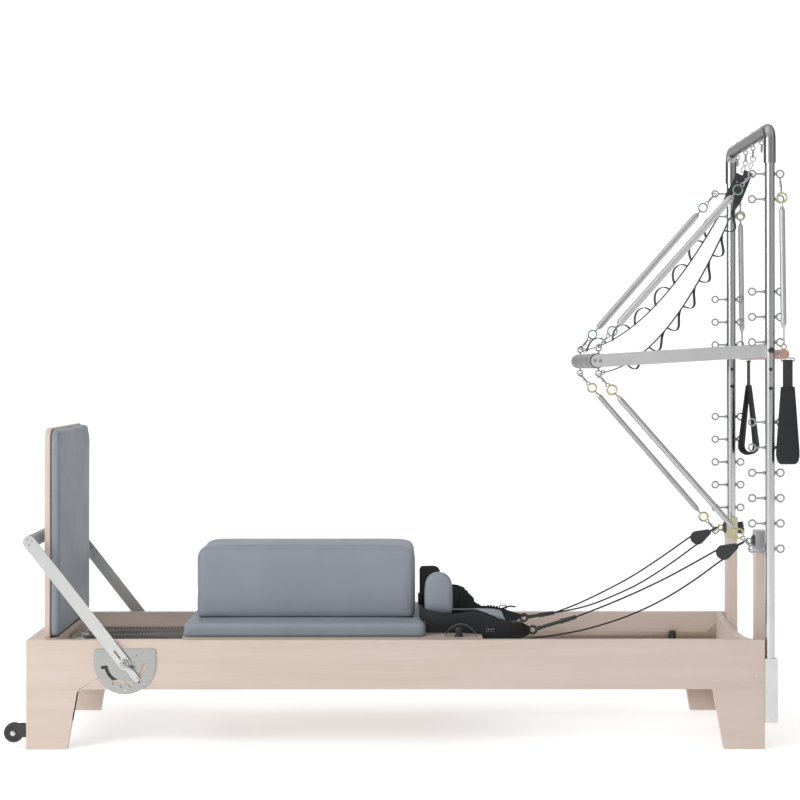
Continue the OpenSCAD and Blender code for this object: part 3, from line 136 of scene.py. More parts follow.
# Points of the rear rope
REAR_ROUTE = [
    (0.566, 0.228, 0.366), (0.650, 0.236, 0.397), (0.750, 0.244, 0.443),
    (0.850, 0.250, 0.496), (0.950, 0.256, 0.560), (1.040, 0.262, 0.622),
    (1.077, 0.265, 0.646), (1.086, 0.265, 0.647), (1.096, 0.265, 0.641),
    (1.100, 0.265, 0.630), (1.093, 0.265, 0.616), (1.060, 0.265, 0.591),
    (1.000, 0.265, 0.547), (0.930, 0.264, 0.500), (0.860, 0.263, 0.459),
    (0.780, 0.262, 0.422), (0.690, 0.264, 0.387), (0.590, 0.270, 0.364),
    (0.480, 0.276, 0.350), (0.380, 0.282, 0.338), (0.295, 0.284, 0.332),
]


def place(x, y, z):
    """A point of the drawing, in millimetres, as a point of the frame in metres."""
    return Vector((x / 1000 - MID_X, y / 1000, z / 1000))


def place_x(x):
    """The frame's X, in metres, of an X in the drawing."""
    return place(x, 0, 0).x


def smoothstep(t):
    t = min(max(t, 0), 1)
    return t * t * (3 - 2 * t)


def on_line(pairs, x):
    """The value at x on a line through (x, value) pairs."""
    if x <= pairs[0][0]:
        return pairs[0][1]
    for (x0, v0), (x1, v1) in zip(pairs, pairs[1:]):
        if x <= x1:
            return v0 + (v1 - v0) * (x - x0) / (x1 - x0)
    return pairs[-1][1]


def deselect():
    if bpy.context.object and bpy.context.object.mode != "OBJECT":
        bpy.ops.object.mode_set(mode="OBJECT")
    bpy.ops.object.select_all(action="DESELECT")


def only(piece):
    deselect()
    piece.select_set(True)
    bpy.context.view_layer.objects.active = piece


def settle(piece):
    """The piece's place goes into its mesh."""
    only(piece)
    bpy.ops.object.transform_apply(location=True, rotation=True, scale=True)
    return piece


def added(name):
    piece = bpy.context.object
    piece.name = name
    piece.data.name = name
    return settle(piece)


def modified(piece, kind, **values):
    """The piece after one modifier, which is applied."""
    modifier = piece.modifiers.new(kind.title(), kind)
    for key, value in values.items():
        setattr(modifier, key, value)
    only(piece)
    bpy.ops.object.modifier_apply(modifier=modifier.name)
    return piece


@contextmanager
def edit_mode(piece):
    """Edit mode with all of the piece selected."""
    only(piece)
    bpy.ops.object.mode_set(mode="EDIT")
    bpy.ops.mesh.select_all(action="SELECT")
    yield
    bpy.ops.object.mode_set(mode="OBJECT")


def paint(material, *pieces):
    for piece in pieces:
        piece.data.materials.append(material)


def join(pieces, name):
    deselect()
    for piece in pieces:
        piece.select_set(True)
    bpy.context.view_layer.objects.active = pieces[0]
    if len(pieces) > 1:
        bpy.ops.object.join()
    whole = bpy.context.object
    whole.name = name
    whole.data.name = name
    return whole


def smooth(piece, angle=35):
    only(piece)
    bpy.ops.object.shade_smooth_by_angle(angle=math.radians(angle))
    return piece


def turned(piece, origin, z_axis, x_axis=None):
    """The piece is moved to origin with its Z along z_axis and its X near x_axis."""
    z = Vector(z_axis).normalized()
    x = Vector(x_axis) if x_axis is not None else Vector((0, 1, 0.01))
    x = (x - z * x.dot(z)).normalized()
    y = z.cross(x)
    turn = Matrix((x, y, z)).transposed().to_4x4()
    piece.data.transform(Matrix.Translation(origin) @ turn)
    piece.data.update()
    return piece


def cylinder(name, start, end, radius, sides=24, rim=0.0, taper=1.0):
    """A round bar between two points, with its rims rounded by rim."""
    start, end = Vector(start), Vector(end)
    length = (end - start).length
    deselect()
    bpy.ops.mesh.primitive_cone_add(vertices=sides, radius1=radius, radius2=radius * taper,
                                    depth=length, location=(0, 0, length / 2))
    bar = added(name)
    if rim:
        soften(bar, rim, 2)
    return turned(smooth(bar), start, end - start)


def soften(piece, width, segments=2, angle=35):
    return modified(piece, "BEVEL", width=width, segments=segments, limit_method="ANGLE",
                    angle_limit=math.radians(angle), harden_normals=False)


def block(name, low, high, round_by=0.0, segments=2):
    """A box between two corners, in metres, with rounded edges."""
    low, high = Vector(low), Vector(high)
    deselect()
    bpy.ops.mesh.primitive_cube_add(size=1, location=(low + high) / 2)
    piece = bpy.context.object
    piece.scale = high - low
    piece = added(name)
    if round_by:
        soften(piece, round_by, segments)
    return smooth(piece)


def torus(name, centre, axis, radius, wire, around=28, sides=10, stretch=0.0, along=None):
    """A wire ring; stretch pulls its halves apart into a long link."""
    deselect()
    bpy.ops.mesh.primitive_torus_add(major_radius=radius, minor_radius=wire / 2,
                                     major_segments=around, minor_segments=sides)
    ring = added(name)
    if stretch:
        for v in ring.data.vertices:
            v.co.x += math.copysign(stretch / 2, v.co.x) if abs(v.co.x) > 1e-6 else 0
    return turned(smooth(ring, 80), centre, axis, along)


def mesh_piece(name, verts, faces, uvs=None):
    """A piece from points and faces; uvs holds one pair for each corner of each face."""
    data = bpy.data.meshes.new(name)
    data.from_pydata([tuple(v) for v in verts], [], faces)
    data.update()
    if uvs is not None:
        layer = data.uv_layers.new(name="Length")
        flat = [c for corner in uvs for c in corner]
        layer.data.foreach_set("uv", flat)
    piece = bpy.data.objects.new(name, data)
    bpy.context.scene.collection.objects.link(piece)
    return piece


def swept(name, path, sections, across, closed=False):
    """A skin over sections set on a path. A section is a list of (side, out) pairs, and
    across gives each point's side direction. Its UV map holds metres along and round."""
    count = len(path)
    sides = len(sections[0])
    along = [0.0]
    for a, b in zip(path, path[1:]):
        along.append(along[-1] + (b - a).length)
    verts = []
    for i, point in enumerate(path):
        before = path[(i - 1) % count] if closed or i > 0 else point
        after = path[(i + 1) % count] if closed or i < count - 1 else point
        ahead = (after - before).normalized()
        side = (across[i] - ahead * across[i].dot(ahead)).normalized()
        out = ahead.cross(side)
        verts += [point + side * s + out * o for s, o in sections[i]]
    faces, uvs, rounds = [], [], []
    for section in sections:
        steps = [0.0]
        for k in range(sides):
            a, b = section[k], section[(k + 1) % sides]
            steps.append(steps[-1] + math.hypot(b[0] - a[0], b[1] - a[1]))
        rounds.append(steps)
    for i in range(count if closed else count - 1):
        j = (i + 1) % count
        end = along[i] + (path[j] - path[i]).length
        for k in range(sides):
            m = (k + 1) % sides
            faces.append((i * sides + k, i * sides + m, j * sides + m, j * sides + k))
            uvs += [(along[i], rounds[i][k]), (along[i], rounds[i][k + 1]),
                    (end, rounds[j][k + 1]), (end, rounds[j][k])]
    if not closed:
        faces.append(tuple(range(sides))[::-1])
        uvs += [(0.0, rounds[0][k]) for k in range(sides)][::-1]
        faces.append(tuple((count - 1) * sides + k for k in range(sides)))
        uvs += [(along[-1], rounds[-1][k]) for k in range(sides)]
    piece = mesh_piece(name, verts, faces, uvs)
    with edit_mode(piece):
        bpy.ops.mesh.normals_make_consistent(inside=False)
    return piece


def strap_section(width, thickness):
    """A flat section with rounded edges, as (side, out) pairs."""
    corners = 3
    r = thickness / 2
    half = width / 2 - r
    points = []
    for s in (1, -1):
        for k in range(corners + 1):
            angle = math.radians(180 - 90 * s - 180 * k / corners)
            points.append((s * half + r * math.cos(angle), r * math.sin(angle)))
    return points


def ribbon(name, path, widths, thicknesses, across, closed=False):
    """A flat band on a path. Its width, its thickness and its side direction are each one
    value or a list with one for each point."""
    rows = [value if isinstance(value, list) else [value] * len(path)
            for value in (widths, thicknesses, across)]
    sections = [strap_section(w, t) for w, t in zip(*rows[:2])]
    return smooth(swept(name, path, sections, rows[2], closed), 50)


def tube(name, path, radius, sides=8):
    """A round cord on a path."""
    circle = arc(radius, 0, 2 * math.pi, sides)[:-1]
    across = [Vector((0, 1, 0.05))] * len(path)
    return smooth(swept(name, path, [circle] * len(path), across), 80)


def arc(radius, start, end, steps, centre=0.0):
    """Points on a circle about (centre, 0), from one angle to another."""
    angles = [start + (end - start) * k / steps for k in range(steps + 1)]
    return [(centre + radius * math.cos(a), radius * math.sin(a)) for a in angles]


def run(a, b, steps):
    """The points between a and b on a straight line."""
    return [(a[0] + (b[0] - a[0]) * k / steps, a[1] + (b[1] - a[1]) * k / steps)
            for k in range(1, steps)]


def teardrop(radius, tip, reach, round_steps, side_steps):
    """A closed line: a wide arc about the origin, and a narrow one at reach on the first axis."""
    lean = math.acos((radius - tip) / reach)
    wide = arc(radius, lean, 2 * math.pi - lean, round_steps)
    nose = arc(tip, -lean, lean, 6, reach)
    return wide + run(wide[-1], nose[0], side_steps) + nose + run(nose[-1], wide[0], side_steps)


def curve_points(points, steps):
    """A smooth line through points, with steps between each pair."""
    line = []
    last = len(points) - 1
    for i in range(last):
        p0, p1 = points[max(i - 1, 0)], points[i]
        p2, p3 = points[i + 1], points[min(i + 2, last)]
        for k in range(steps):
            t = k / steps
            line.append(0.5 * (2 * p1 + (p2 - p0) * t + (2 * p0 - 5 * p1 + 4 * p2 - p3) * t * t
                               + (3 * p1 - p0 - 3 * p2 + p3) * t ** 3))
    return line + [points[-1]]


def cad_copy(node, name):
    """A merged copy of a CAD node's mesh, as a new piece."""
    data = frame["nodes"][node].data.copy()
    piece = bpy.data.objects.new(name, data)
    data.name = name
    data.materials.clear()
    bpy.context.scene.collection.objects.link(piece)
    with edit_mode(piece):
        bpy.ops.mesh.remove_doubles(threshold=0.00002)
        bpy.ops.mesh.normals_make_consistent(inside=False)
    return piece


def rounded_copy(node, name, width, segments=3):
    """A CAD node's form with its sharp edges rounded."""
    piece = cad_copy(node, name)
    with edit_mode(piece):
        bpy.ops.mesh.dissolve_limited(angle_limit=math.radians(0.5))
    soften(piece, width, segments, 32)
    smooth(piece, 40)
    return modified(piece, "WEIGHTED_NORMAL", keep_sharp=True)


def settle_on(piece, body, slot, material, *nodes):
    """The piece gets its finish, rides on a body and stands for CAD nodes."""
    if material is not None:
        piece.data.materials.clear()
        paint(material, piece)
    if body:
        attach(piece, body)
    if nodes:
        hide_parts(*nodes)


def stretch_between(piece, slot, node):
    """The piece stands for a CAD node, and its place goes into its mesh."""
    settle_on(piece, None, slot, None, node)
    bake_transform(piece)


def follow_rope(piece):
    """The piece's place goes into its mesh."""
    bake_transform(piece)


# Finishes. A texture is drawn out along the axis with the small number.

EVEN = (1, 1, 1)
ALONG_X = (1.2, 16, 16)
ALONG_Y = (16, 1.2, 16)
ALONG_Z = (16, 16, 1.2)


def node_group(name, inputs, outputs):
    """A group with its input and output sockets; an input's kind follows from its value."""
    group = bpy.data.node_groups.new(name, "ShaderNodeTree")
    for label, value in inputs.items():
        size = len(value) if isinstance(value, tuple) else 1
        kind = {1: "NodeSocketFloat", 3: "NodeSocketVector", 4: "NodeSocketColor"}[size]
        socket = group.interface.new_socket(label, in_out="INPUT", socket_type=kind)
        socket.default_value = value
    for label in outputs:
        kind = "NodeSocketColor" if label == "Color" else "NodeSocketFloat"
        group.interface.new_socket(label, in_out="OUTPUT", socket_type=kind)
    entry = group.nodes.new("NodeGroupInput")
    return group, entry.outputs, group.nodes.new("NodeGroupOutput")


def feed(tree, node, values):
    """The node's sockets, by name or number, are linked or set."""
    for key, value in values.items():
        if isinstance(value, bpy.types.NodeSocket):
            tree.links.new(value, node.inputs[key])
        else:
            node.inputs[key].default_value = value
    return node


def add_node(tree, kind, inputs, **values):
    """A node with its inputs linked or set, and its own values set first."""
    node = tree.nodes.new(kind)
    for key, value in values.items():
        setattr(node, key, value)
    return feed(tree, node, inputs)


def maths(tree, operation, a, b=0.5, c=0.0):
    return add_node(tree, "ShaderNodeMath", {0: a, 1: b, 2: c}, operation=operation).outputs[0]


def blend_colour(tree, factor, a, b):
    return add_node(tree, "ShaderNodeMix", {0: factor, 6: a, 7: b}, data_type="RGBA").outputs[2]


def noise(tree, vector, scale, detail=3.0, rough=0.55):
    values = {"Vector": vector, "Scale": scale, "Detail": detail, "Roughness": rough}
    return add_node(tree, "ShaderNodeTexNoise", values).outputs[0]


def ramp(tree, value, low, high, top=1.0, bottom=0.0, **values):
    """The value's share of the way from low to high, as a number from bottom to top."""
    return add_node(tree, "ShaderNodeMapRange",
                    {0: value, 1: low, 2: high, 3: bottom, 4: top}, **values).outputs[0]


def weighted(tree, a, share, b, other=None):
    """A value times its share, added to another value or to another's share."""
    second = b if other is None else maths(tree, "MULTIPLY", b, other)
    return maths(tree, "ADD", maths(tree, "MULTIPLY", a, share), second)


def build_grain_group():
    """Fine and broad streaks of planed maple, along the axis with the small stretch."""
    group, entry, leave = node_group(
        "Timber grain",
        {"Vector": (0, 0, 0), "Stretch": (1, 14, 14), "Light": (0.8, 0.7, 0.6, 1),
         "Dark": (0.6, 0.5, 0.4, 1), "Figure": 0.5},
        ("Color", "Height"))
    coords = add_node(group, "ShaderNodeVectorMath", {0: entry["Vector"], 1: entry["Stretch"]},
                      operation="MULTIPLY").outputs[0]
    broad = noise(group, coords, 1.1, 2.0)
    fine = noise(group, coords, 9.0, 5.0, 0.7)
    pores = noise(group, coords, 42.0, 2.0, 0.6)
    streaks = ramp(group, weighted(group, broad, 0.6, fine, 0.4), 0.35, 0.68)
    amount = maths(group, "MULTIPLY", streaks, entry["Figure"])
    colour = blend_colour(group, amount, entry["Light"], entry["Dark"])
    colour = blend_colour(group, ramp(group, pores, 0.62, 0.75, 0.28), colour, entry["Dark"])
    feed(group, leave, {"Color": colour, "Height": weighted(group, pores, 0.4, fine)})
    return group


def build_wear_group():
    """Soft patches where a finish has been handled, and fine dust."""
    group, entry, leave = node_group(
        "Handling marks", {"Vector": (0, 0, 0), "Size": 6.0, "Low": 0.3, "High": 0.5},
        ("Roughness", "Patch"))
    patch = noise(group, entry["Vector"], entry["Size"], 4.0, 0.6)
    fine = noise(group, entry["Vector"], 190.0, 2.0)
    rough = ramp(group, weighted(group, patch, 0.75, fine, 0.25), 0.35, 0.65,
                 entry["High"], entry["Low"])
    feed(group, leave, {"Roughness": rough, "Patch": patch})
    return group


def build_hide_group():
    """Pebbled grain of upholstery, with a slight drift of tone."""
    group, entry, leave = node_group(
        "Upholstery grain",
        {"Vector": (0, 0, 0), "Pebble": 620.0, "Tone": (0.5, 0.5, 0.5, 1),
         "Shade": (0.4, 0.4, 0.4, 1)},
        ("Color", "Height"))
    cells = add_node(group, "ShaderNodeTexVoronoi",
                     {"Vector": entry["Vector"], "Scale": entry["Pebble"]},
                     feature="SMOOTH_F1").outputs["Distance"]
    creases = noise(group, entry["Vector"], 130.0, 4.0, 0.6)
    drift = noise(group, entry["Vector"], 5.0, 3.0)
    colour = blend_colour(group, ramp(group, drift, 0.35, 0.65, 0.7), entry["Tone"], entry["Shade"])
    colour = blend_colour(group, ramp(group, creases, 0.3, 0.7, 0.35), colour, entry["Shade"])
    feed(group, leave, {"Color": colour, "Height": weighted(group, cells, 0.7, creases, 0.6)})
    return group


def build_weave_group():
    """Over and under threads of a woven strap or cord, from metres along and across."""
    group, entry, leave = node_group(
        "Woven threads",
        {"Vector": (0, 0, 0), "Threads": 700.0, "Tone": (0.1, 0.1, 0.1, 1),
         "Shade": (0.05, 0.05, 0.05, 1)},
        ("Color", "Height"))
    parts = add_node(group, "ShaderNodeSeparateXYZ", {0: entry["Vector"]}).outputs
    waves = []
    for operation in ("ADD", "SUBTRACT"):
        thread = maths(group, "MULTIPLY", maths(group, operation, parts[0], parts[1]),
                       entry["Threads"])
        waves.append(maths(group, "SINE", maths(group, "MULTIPLY", thread, math.pi)))
    threads = maths(group, "ABSOLUTE", maths(group, "MULTIPLY", *waves))
    fibres = noise(group, entry["Vector"], 1500.0, 2.0)
    feed(group, leave, {"Color": blend_colour(group, threads, entry["Shade"], entry["Tone"]),
                        "Height": weighted(group, fibres, 0.3, threads)})
    return group


GROUPS = {}


def use_group(tree, build, values):
    """A node of a shared group, which is built when it is first used."""
    if build not in GROUPS:
        GROUPS[build] = build()
    return add_node(tree, "ShaderNodeGroup", values, node_tree=GROUPS[build]).outputs


def material_base(name, coordinates="Object"):
    """A new material with its shader, and the coordinates that its textures follow."""
    material = bpy.data.materials.new(name)
    material.use_nodes = True
    tree = material.node_tree
    tree.nodes.clear()
    shader = tree.nodes.new("ShaderNodeBsdfPrincipled")
    add_node(tree, "ShaderNodeOutputMaterial", {0: shader.outputs[0]})
    where = tree.nodes.new("ShaderNodeTexCoord").outputs[coordinates]
    return material, tree, shader, where


def worn(tree, where, size, rough):
    """Roughness between two values in patches, with more patches for a larger size."""
    return use_group(tree, build_wear_group,
                     {"Vector": where, "Size": size, "Low": rough[0], "High": rough[1]})


def bump(tree, height, strength, distance=0.0002):
    values = {"Strength": strength, "Distance": distance, "Height": height}
    return add_node(tree, "ShaderNodeBump", values).outputs[0]


def darker(colour, share):
    return tuple(c * share for c in colour[:3]) + (1.0,)


def opaque(colour):
    return darker(colour, 1.0)


def built_once(build):
    """A finish is built when its name is first asked for."""
    def find(name, *values):
        return bpy.data.materials.get(name) or build(name, *values)
    return find


@built_once
def timber(name, colour, stretch, figure=0.55):
    material, tree, shader, where = material_base(name)
    dark = (colour[0] * 0.80, colour[1] * 0.73, colour[2] * 0.68, 1.0)
    grain = use_group(tree, build_grain_group, {
        "Vector": where, "Stretch": stretch, "Light": opaque(colour), "Dark": dark,
        "Figure": figure})
    feed(tree, shader, {
        "Base Color": grain["Color"],
        "Roughness": worn(tree, where, 4.0, (0.38, 0.52))["Roughness"],
        "Coat Weight": 0.12, "Coat Roughness": 0.35,
        "Normal": bump(tree, grain["Height"], 0.12, 0.0004)})
    return material


@built_once
def hide(name, colour, pebble=620.0, rough=(0.42, 0.56), depth=0.3):
    material, tree, shader, where = material_base(name)
    grain = use_group(tree, build_hide_group, {
        "Vector": where, "Pebble": pebble, "Tone": opaque(colour), "Shade": darker(colour, 0.88)})
    feed(tree, shader, {
        "Base Color": grain["Color"],
        "Roughness": worn(tree, where, 7.0, rough)["Roughness"],
        "Sheen Weight": 0.03, "Specular IOR Level": 0.14,
        "Normal": bump(tree, grain["Height"], depth, 0.0006)})
    return material


@built_once
def metal(name, colour, rough, brushed=EVEN, depth=0.05, metallic=1.0, edge=1.0):
    material, tree, shader, where = material_base(name)
    drawn = add_node(tree, "ShaderNodeMapping", {"Vector": where, "Scale": brushed}).outputs[0]
    marks = noise(tree, drawn, 300.0, 3.0)
    wear = worn(tree, where, 9.0, rough)
    streaks = ramp(tree, marks, 0.3, 0.7, 0.5)
    base = blend_colour(tree, streaks, opaque(colour), darker(colour, 0.84))
    patches = ramp(tree, wear["Patch"], 0.55, 0.75, 0.3)
    feed(tree, shader, {
        "Base Color": blend_colour(tree, patches, base, darker(colour, 0.8)),
        "Roughness": wear["Roughness"], "Metallic": metallic,
        "Specular Tint": (edge, edge, edge, 1), "Normal": bump(tree, marks, depth)})
    return material


@built_once
def moulded(name, colour, rough=(0.4, 0.58), depth=0.15):
    material, tree, shader, where = material_base(name)
    wear = worn(tree, where, 12.0, rough)
    patches = ramp(tree, wear["Patch"], 0.4, 0.7, 0.6)
    feed(tree, shader, {
        "Base Color": blend_colour(tree, patches, opaque(colour), darker(colour, 1.3)),
        "Roughness": wear["Roughness"],
        "Normal": bump(tree, noise(tree, where, 900.0, 2.0), depth)})
    return material


@built_once
def woven(name, colour, threads=640.0, depth=0.6):
    material, tree, shader, where = material_base(name, "UV")
    weave = use_group(tree, build_weave_group, {
        "Vector": where, "Threads": threads, "Tone": opaque(colour), "Shade": darker(colour, 0.45)})
    tone = ramp(tree, noise(tree, where, 60.0, 3.0), 0.3, 0.7, 0.4)
    feed(tree, shader, {
        "Base Color": blend_colour(tree, tone, weave["Color"], darker(colour, 1.35)),
        "Roughness": 0.8, "Sheen Weight": 0.25,
        "Normal": bump(tree, weave["Height"], depth, 0.0005)})
    return material


@built_once
def caps_with_rear_highlight(name):
    """Satin caps, bare on the front riser; the cream on the rear riser is a painted highlight."""
    material, tree, shader, where = material_base(name)
    parts = add_node(tree, "ShaderNodeSeparateXYZ", {0: where}).outputs
    # Mask of the rear riser, which gets the cream painted highlight
    rear = maths(tree, "GREATER_THAN", parts[1], 0.0)
    wear = worn(tree, where, 9.0, (0.28, 0.42))
    tone = ramp(tree, wear["Patch"], 0.4, 0.7, 0.5)
    steel = blend_colour(tree, tone, (0.52, 0.52, 0.52, 1), (0.42, 0.42, 0.42, 1))
    # Cream painted highlight for the rear riser's cap
    cream = blend_colour(tree, tone, (0.62, 0.58, 0.42, 1), (0.52, 0.49, 0.37, 1))
    feed(tree, shader, {
        "Base Color": blend_colour(tree, rear, steel, cream), "Roughness": wear["Roughness"],
        "Metallic": 0.75, "Normal": bump(tree, noise(tree, where, 260.0, 2.0), 0.03)})
    return material


# Each finish: how it is built, its name, its colour and the builder's other values
FINISHES = {
    "polished": (metal, "Polished tube steel", (0.60, 0.605, 0.61), (0.12, 0.22), EVEN, 0.02),
    "spring wire": (metal, "Drawn spring wire", (0.60, 0.60, 0.60), (0.40, 0.48), EVEN, 0.005),
    "plated": (metal, "Plated steel", (0.63, 0.63, 0.62), (0.26, 0.4), (1, 1, 6)),
    # Footbar plate: plated steel darkened as painted shade
    "plate": (metal, "Plate steel", (0.44, 0.44, 0.43), (0.3, 0.42), EVEN, 0.02),
    "satin": (metal, "Satin aluminium", (0.74, 0.74, 0.745), (0.3, 0.42), (1, 1, 8)),
    "warm": (metal, "Warm anodised aluminium", (0.60, 0.50, 0.44), (0.35, 0.48), (1, 8, 8)),
    "zinc": (metal, "Zinc plated wire", (0.40, 0.40, 0.41), (0.2, 0.32), EVEN, 0.02),
    # A dark finish for the springs under the carriage, darker than the long springs' wire
    "oiled": (metal, "Oiled spring steel", (0.24, 0.22, 0.21), (0.35, 0.5), EVEN, 0.03, 0.8),
    "coated": (metal, "Dark coated steel", (0.12, 0.12, 0.125), (0.4, 0.55), EVEN, 0.05, 0.4),
    "smoked": (metal, "Smoked tube steel", (0.42, 0.42, 0.425), (0.16, 0.26), EVEN, 0.02, 1.0,
               0.45),
    "green": (metal, "Green plated ring", (0.24, 0.36, 0.31), (0.25, 0.35)),
    "yellow": (metal, "Yellow plated ring", (0.60, 0.57, 0.30), (0.25, 0.35)),
    # Riser caps, with a cream painted highlight on the rear one
    "caps": (caps_with_rear_highlight, "Riser cap finish"),
    "plastic": (moulded, "Black moulded plastic", (0.028, 0.029, 0.031)),
    "rubber": (moulded, "Black rubber", (0.022, 0.022, 0.022), (0.6, 0.8), 0.3),
    "grip": (moulded, "Smooth dark grip", (0.062, 0.062, 0.065), (0.3, 0.42), 0.05),
    "dowel": (timber, "Turned dowel", (0.44, 0.28, 0.22), ALONG_Y, 0.8),
    "brown hide": (hide, "Brown leather wrap", (0.030, 0.020, 0.019), 700.0, (0.5, 0.65)),
    "maple x": (timber, "Maple, grain along the rail", "timber", ALONG_X),
    "maple y": (timber, "Maple, grain across", "timber", ALONG_Y),
    "maple z": (timber, "Maple, grain upright", "timber", ALONG_Z),
    "upholstery": (hide, "Grey upholstery", "upholstery"),
    "padding": (hide, "Black padded cloth", "webbing", 900.0, (0.6, 0.75), 0.4),
    "webbing": (woven, "Black webbing", "webbing"),
    "rope": (woven, "Black rope braid", "rope", 420.0, 0.8),
}


def finish(key):
    """A finish of the table. A colour that is a word is one of the scene's own colours."""
    build, name, *values = FINISHES[key]
    if values and isinstance(values[0], str):
        values[0] = getattr(bpy.context.scene.reformer_colours, values[0])
    return build(name, *values)


class ReformerColours(bpy.types.PropertyGroup):
    """Colours of the main finishes"""

    timber: bpy.props.FloatVectorProperty(
        name="Timber", description="Colour of the lacquered maple", subtype="COLOR",
        size=3, min=0, max=1, default=(0.62, 0.52, 0.46))
    upholstery: bpy.props.FloatVectorProperty(
        name="Upholstery", description="Colour of the pads", subtype="COLOR",
        size=3, min=0, max=1, default=(0.27, 0.297, 0.340))
    webbing: bpy.props.FloatVectorProperty(
        name="Webbing", description="Colour of the straps and loops", subtype="COLOR",
        size=3, min=0, max=1, default=(0.028, 0.031, 0.034))
    rope: bpy.props.FloatVectorProperty(
        name="Rope", description="Colour of the ropes", subtype="COLOR",
        size=3, min=0, max=1, default=(0.014, 0.012, 0.012))


class ReformerSizes(bpy.types.PropertyGroup):
    """Sizes that a user would change"""

    rope_diameter: bpy.props.FloatProperty(
        name="Rope diameter", description="Thickness of the ropes", default=0.0055,
        min=0.003, max=0.012, subtype="DISTANCE", unit="LENGTH")
    spring_wire: bpy.props.FloatProperty(
        name="Spring wire", description="Thickness of the long springs' wire", default=0.0030,
        min=0.002, max=0.004, subtype="DISTANCE", unit="LENGTH")
    timber_round: bpy.props.FloatProperty(
        name="Edge rounding", description="Radius on the edges of the timber", default=0.003,
        min=0.001, max=0.006, subtype="DISTANCE", unit="LENGTH")


def sizes():
    return bpy.context.scene.reformer_sizes


class REFORMER_OT_camera(bpy.types.Operator):
    """Set a camera square to the side of the reformer"""

    bl_idname = "reformer.camera"
    bl_label = "Camera"

    def execute(self, context):
        data = bpy.data.cameras.new("Side camera")
        camera = bpy.data.objects.new("Side camera", data)
        context.scene.collection.objects.link(camera)
        camera.location = CAMERA_AT
        camera.rotation_euler = (math.radians(CAMERA_TILT), 0, math.radians(CAMERA_TURN))
        data.sensor_width = 36
        data.lens = LENS
        data.shift_y = -0.05
        data.clip_end = 60
        context.scene.camera = camera
        return {"FINISHED"}


class REFORMER_OT_ropes(bpy.types.Operator):
    """Lay the two ropes from the foot loops over the pulleys to the carriage"""

    bl_idname = "reformer.ropes"
    bl_label = "Ropes"

    def execute(self, context):
        for node, route in (("rope_front", FRONT_ROUTE), ("rope_rear", REAR_ROUTE)):
            points = [Vector(p) - Vector((MID_X, 0, 0)) for p in route]
            path = curve_points(points, 5)
            rope = tube("Rope_" + node[5:], path, sizes().rope_diameter / 2, 10)
            settle_on(rope, None, "black_rope", finish("rope"), node)
            follow_rope(rope)
        return {"FINISHED"}


class REFORMER_OT_timber(bpy.types.Operator):
    """Round the edges of the rails, end boards, risers, carriage deck and jumpboard"""

    bl_idname = "reformer.timber"
    bl_label = "Timber"

    def execute(self, context):
        parts = [
            ("side_panel_front", "Rail_front", "frame", "maple x"),
            ("side_panel_rear", "Rail_rear", "frame", "maple x"),
            ("foot_end_board", "End_board_foot", "frame", "maple y"),
            ("foot_deck_board", "Foot_deck", "frame", "maple y"),
            ("head_end_board", "End_board_head", "frame", "maple y"),
            ("risers", "Risers", "frame", "maple z"),
            ("carriage_deck", "Carriage_deck", "carriage", "maple x"),
            ("jumpboard_panel", "Jumpboard", "jumpboard", "maple z"),
        ]
        for node, name, body, grain in parts:
            piece = rounded_copy(node, name, sizes().timber_round)
            settle_on(piece, body, "frame_wood", finish(grain), node)
        return {"FINISHED"}


def puffed(piece, pressure, cap, fixed):
    """Fill a closed skin with air by cloth simulation; fixed(point) holds a point still."""
    rest = [v.co.copy() for v in piece.data.vertices]
    held = piece.vertex_groups.new(name="Held")
    held.add([v.index for v in piece.data.vertices if fixed(v.co)], 1.0, "ADD")
    cloth = piece.modifiers.new("Filling", "CLOTH")
    for key, value in FILL_SETTINGS.items():
        setattr(cloth.settings, key, value)
    cloth.settings.uniform_pressure_force = pressure
    cloth.settings.effector_weights.gravity = 0
    cloth.point_cache.frame_start = 1
    cloth.point_cache.frame_end = FILL_FRAMES
    scene = bpy.context.scene
    for number in range(1, FILL_FRAMES + 1):
        scene.frame_set(number)
    graph = bpy.context.evaluated_depsgraph_get()
    moved = [v.co.copy() for v in piece.evaluated_get(graph).data.vertices]
    piece.modifiers.remove(cloth)
    scene.frame_set(1)
    for v, start, end in zip(piece.data.vertices, rest, moved):
        shift = end - start
        if shift.length > cap:
            shift *= cap / shift.length
        v.co = start + shift
    piece.vertex_groups.clear()
    piece.data.update()


def drawn_out(piece, low, high):
    """Easing draws a skin in; this draws it out again to the box between two corners."""
    spots = [v.co.copy() for v in piece.data.vertices]
    for k in range(3):
        least, most = min(p[k] for p in spots), max(p[k] for p in spots)
        for v in piece.data.vertices:
            v.co[k] = low[k] + (v.co[k] - least) * (high[k] - low[k]) / (most - least)
    piece.data.update()


def padded_piece(node, grain, inset, cap, pressure, held, fill, eased=4, crisp=False):
    """A CAD cushion's form, remeshed at a grain, filled by simulation and smoothed. Its
    underside, an axis and a depth, is held. A crisp one has its edges set back on the form
    before the filling."""
    pad = cad_copy(node, node.capitalize())
    low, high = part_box(node)
    centre = (low + high) / 2
    size = high - low
    for v in pad.data.vertices:
        for k in range(3):
            v.co[k] = centre[k] + (v.co[k] - centre[k]) * (1 - 2 * inset[k] / size[k])
    modified(pad, "REMESH", mode="VOXEL", voxel_size=grain)
    modified(pad, "SMOOTH", factor=0.5, iterations=eased)
    if crisp:
        modified(pad, "SHRINKWRAP", target=frame["nodes"][node], wrap_method="NEAREST_SURFACEPOINT")
    else:
        drawn_out(pad, low + Vector(inset), high - Vector(inset))
    axis, depth = held
    puffed(pad, pressure, cap, lambda p: p[axis] < low[axis] + depth)
    modified(pad, "SUBSURF", levels=1, render_levels=1)
    only(pad)
    bpy.ops.object.shade_smooth()
    return pad


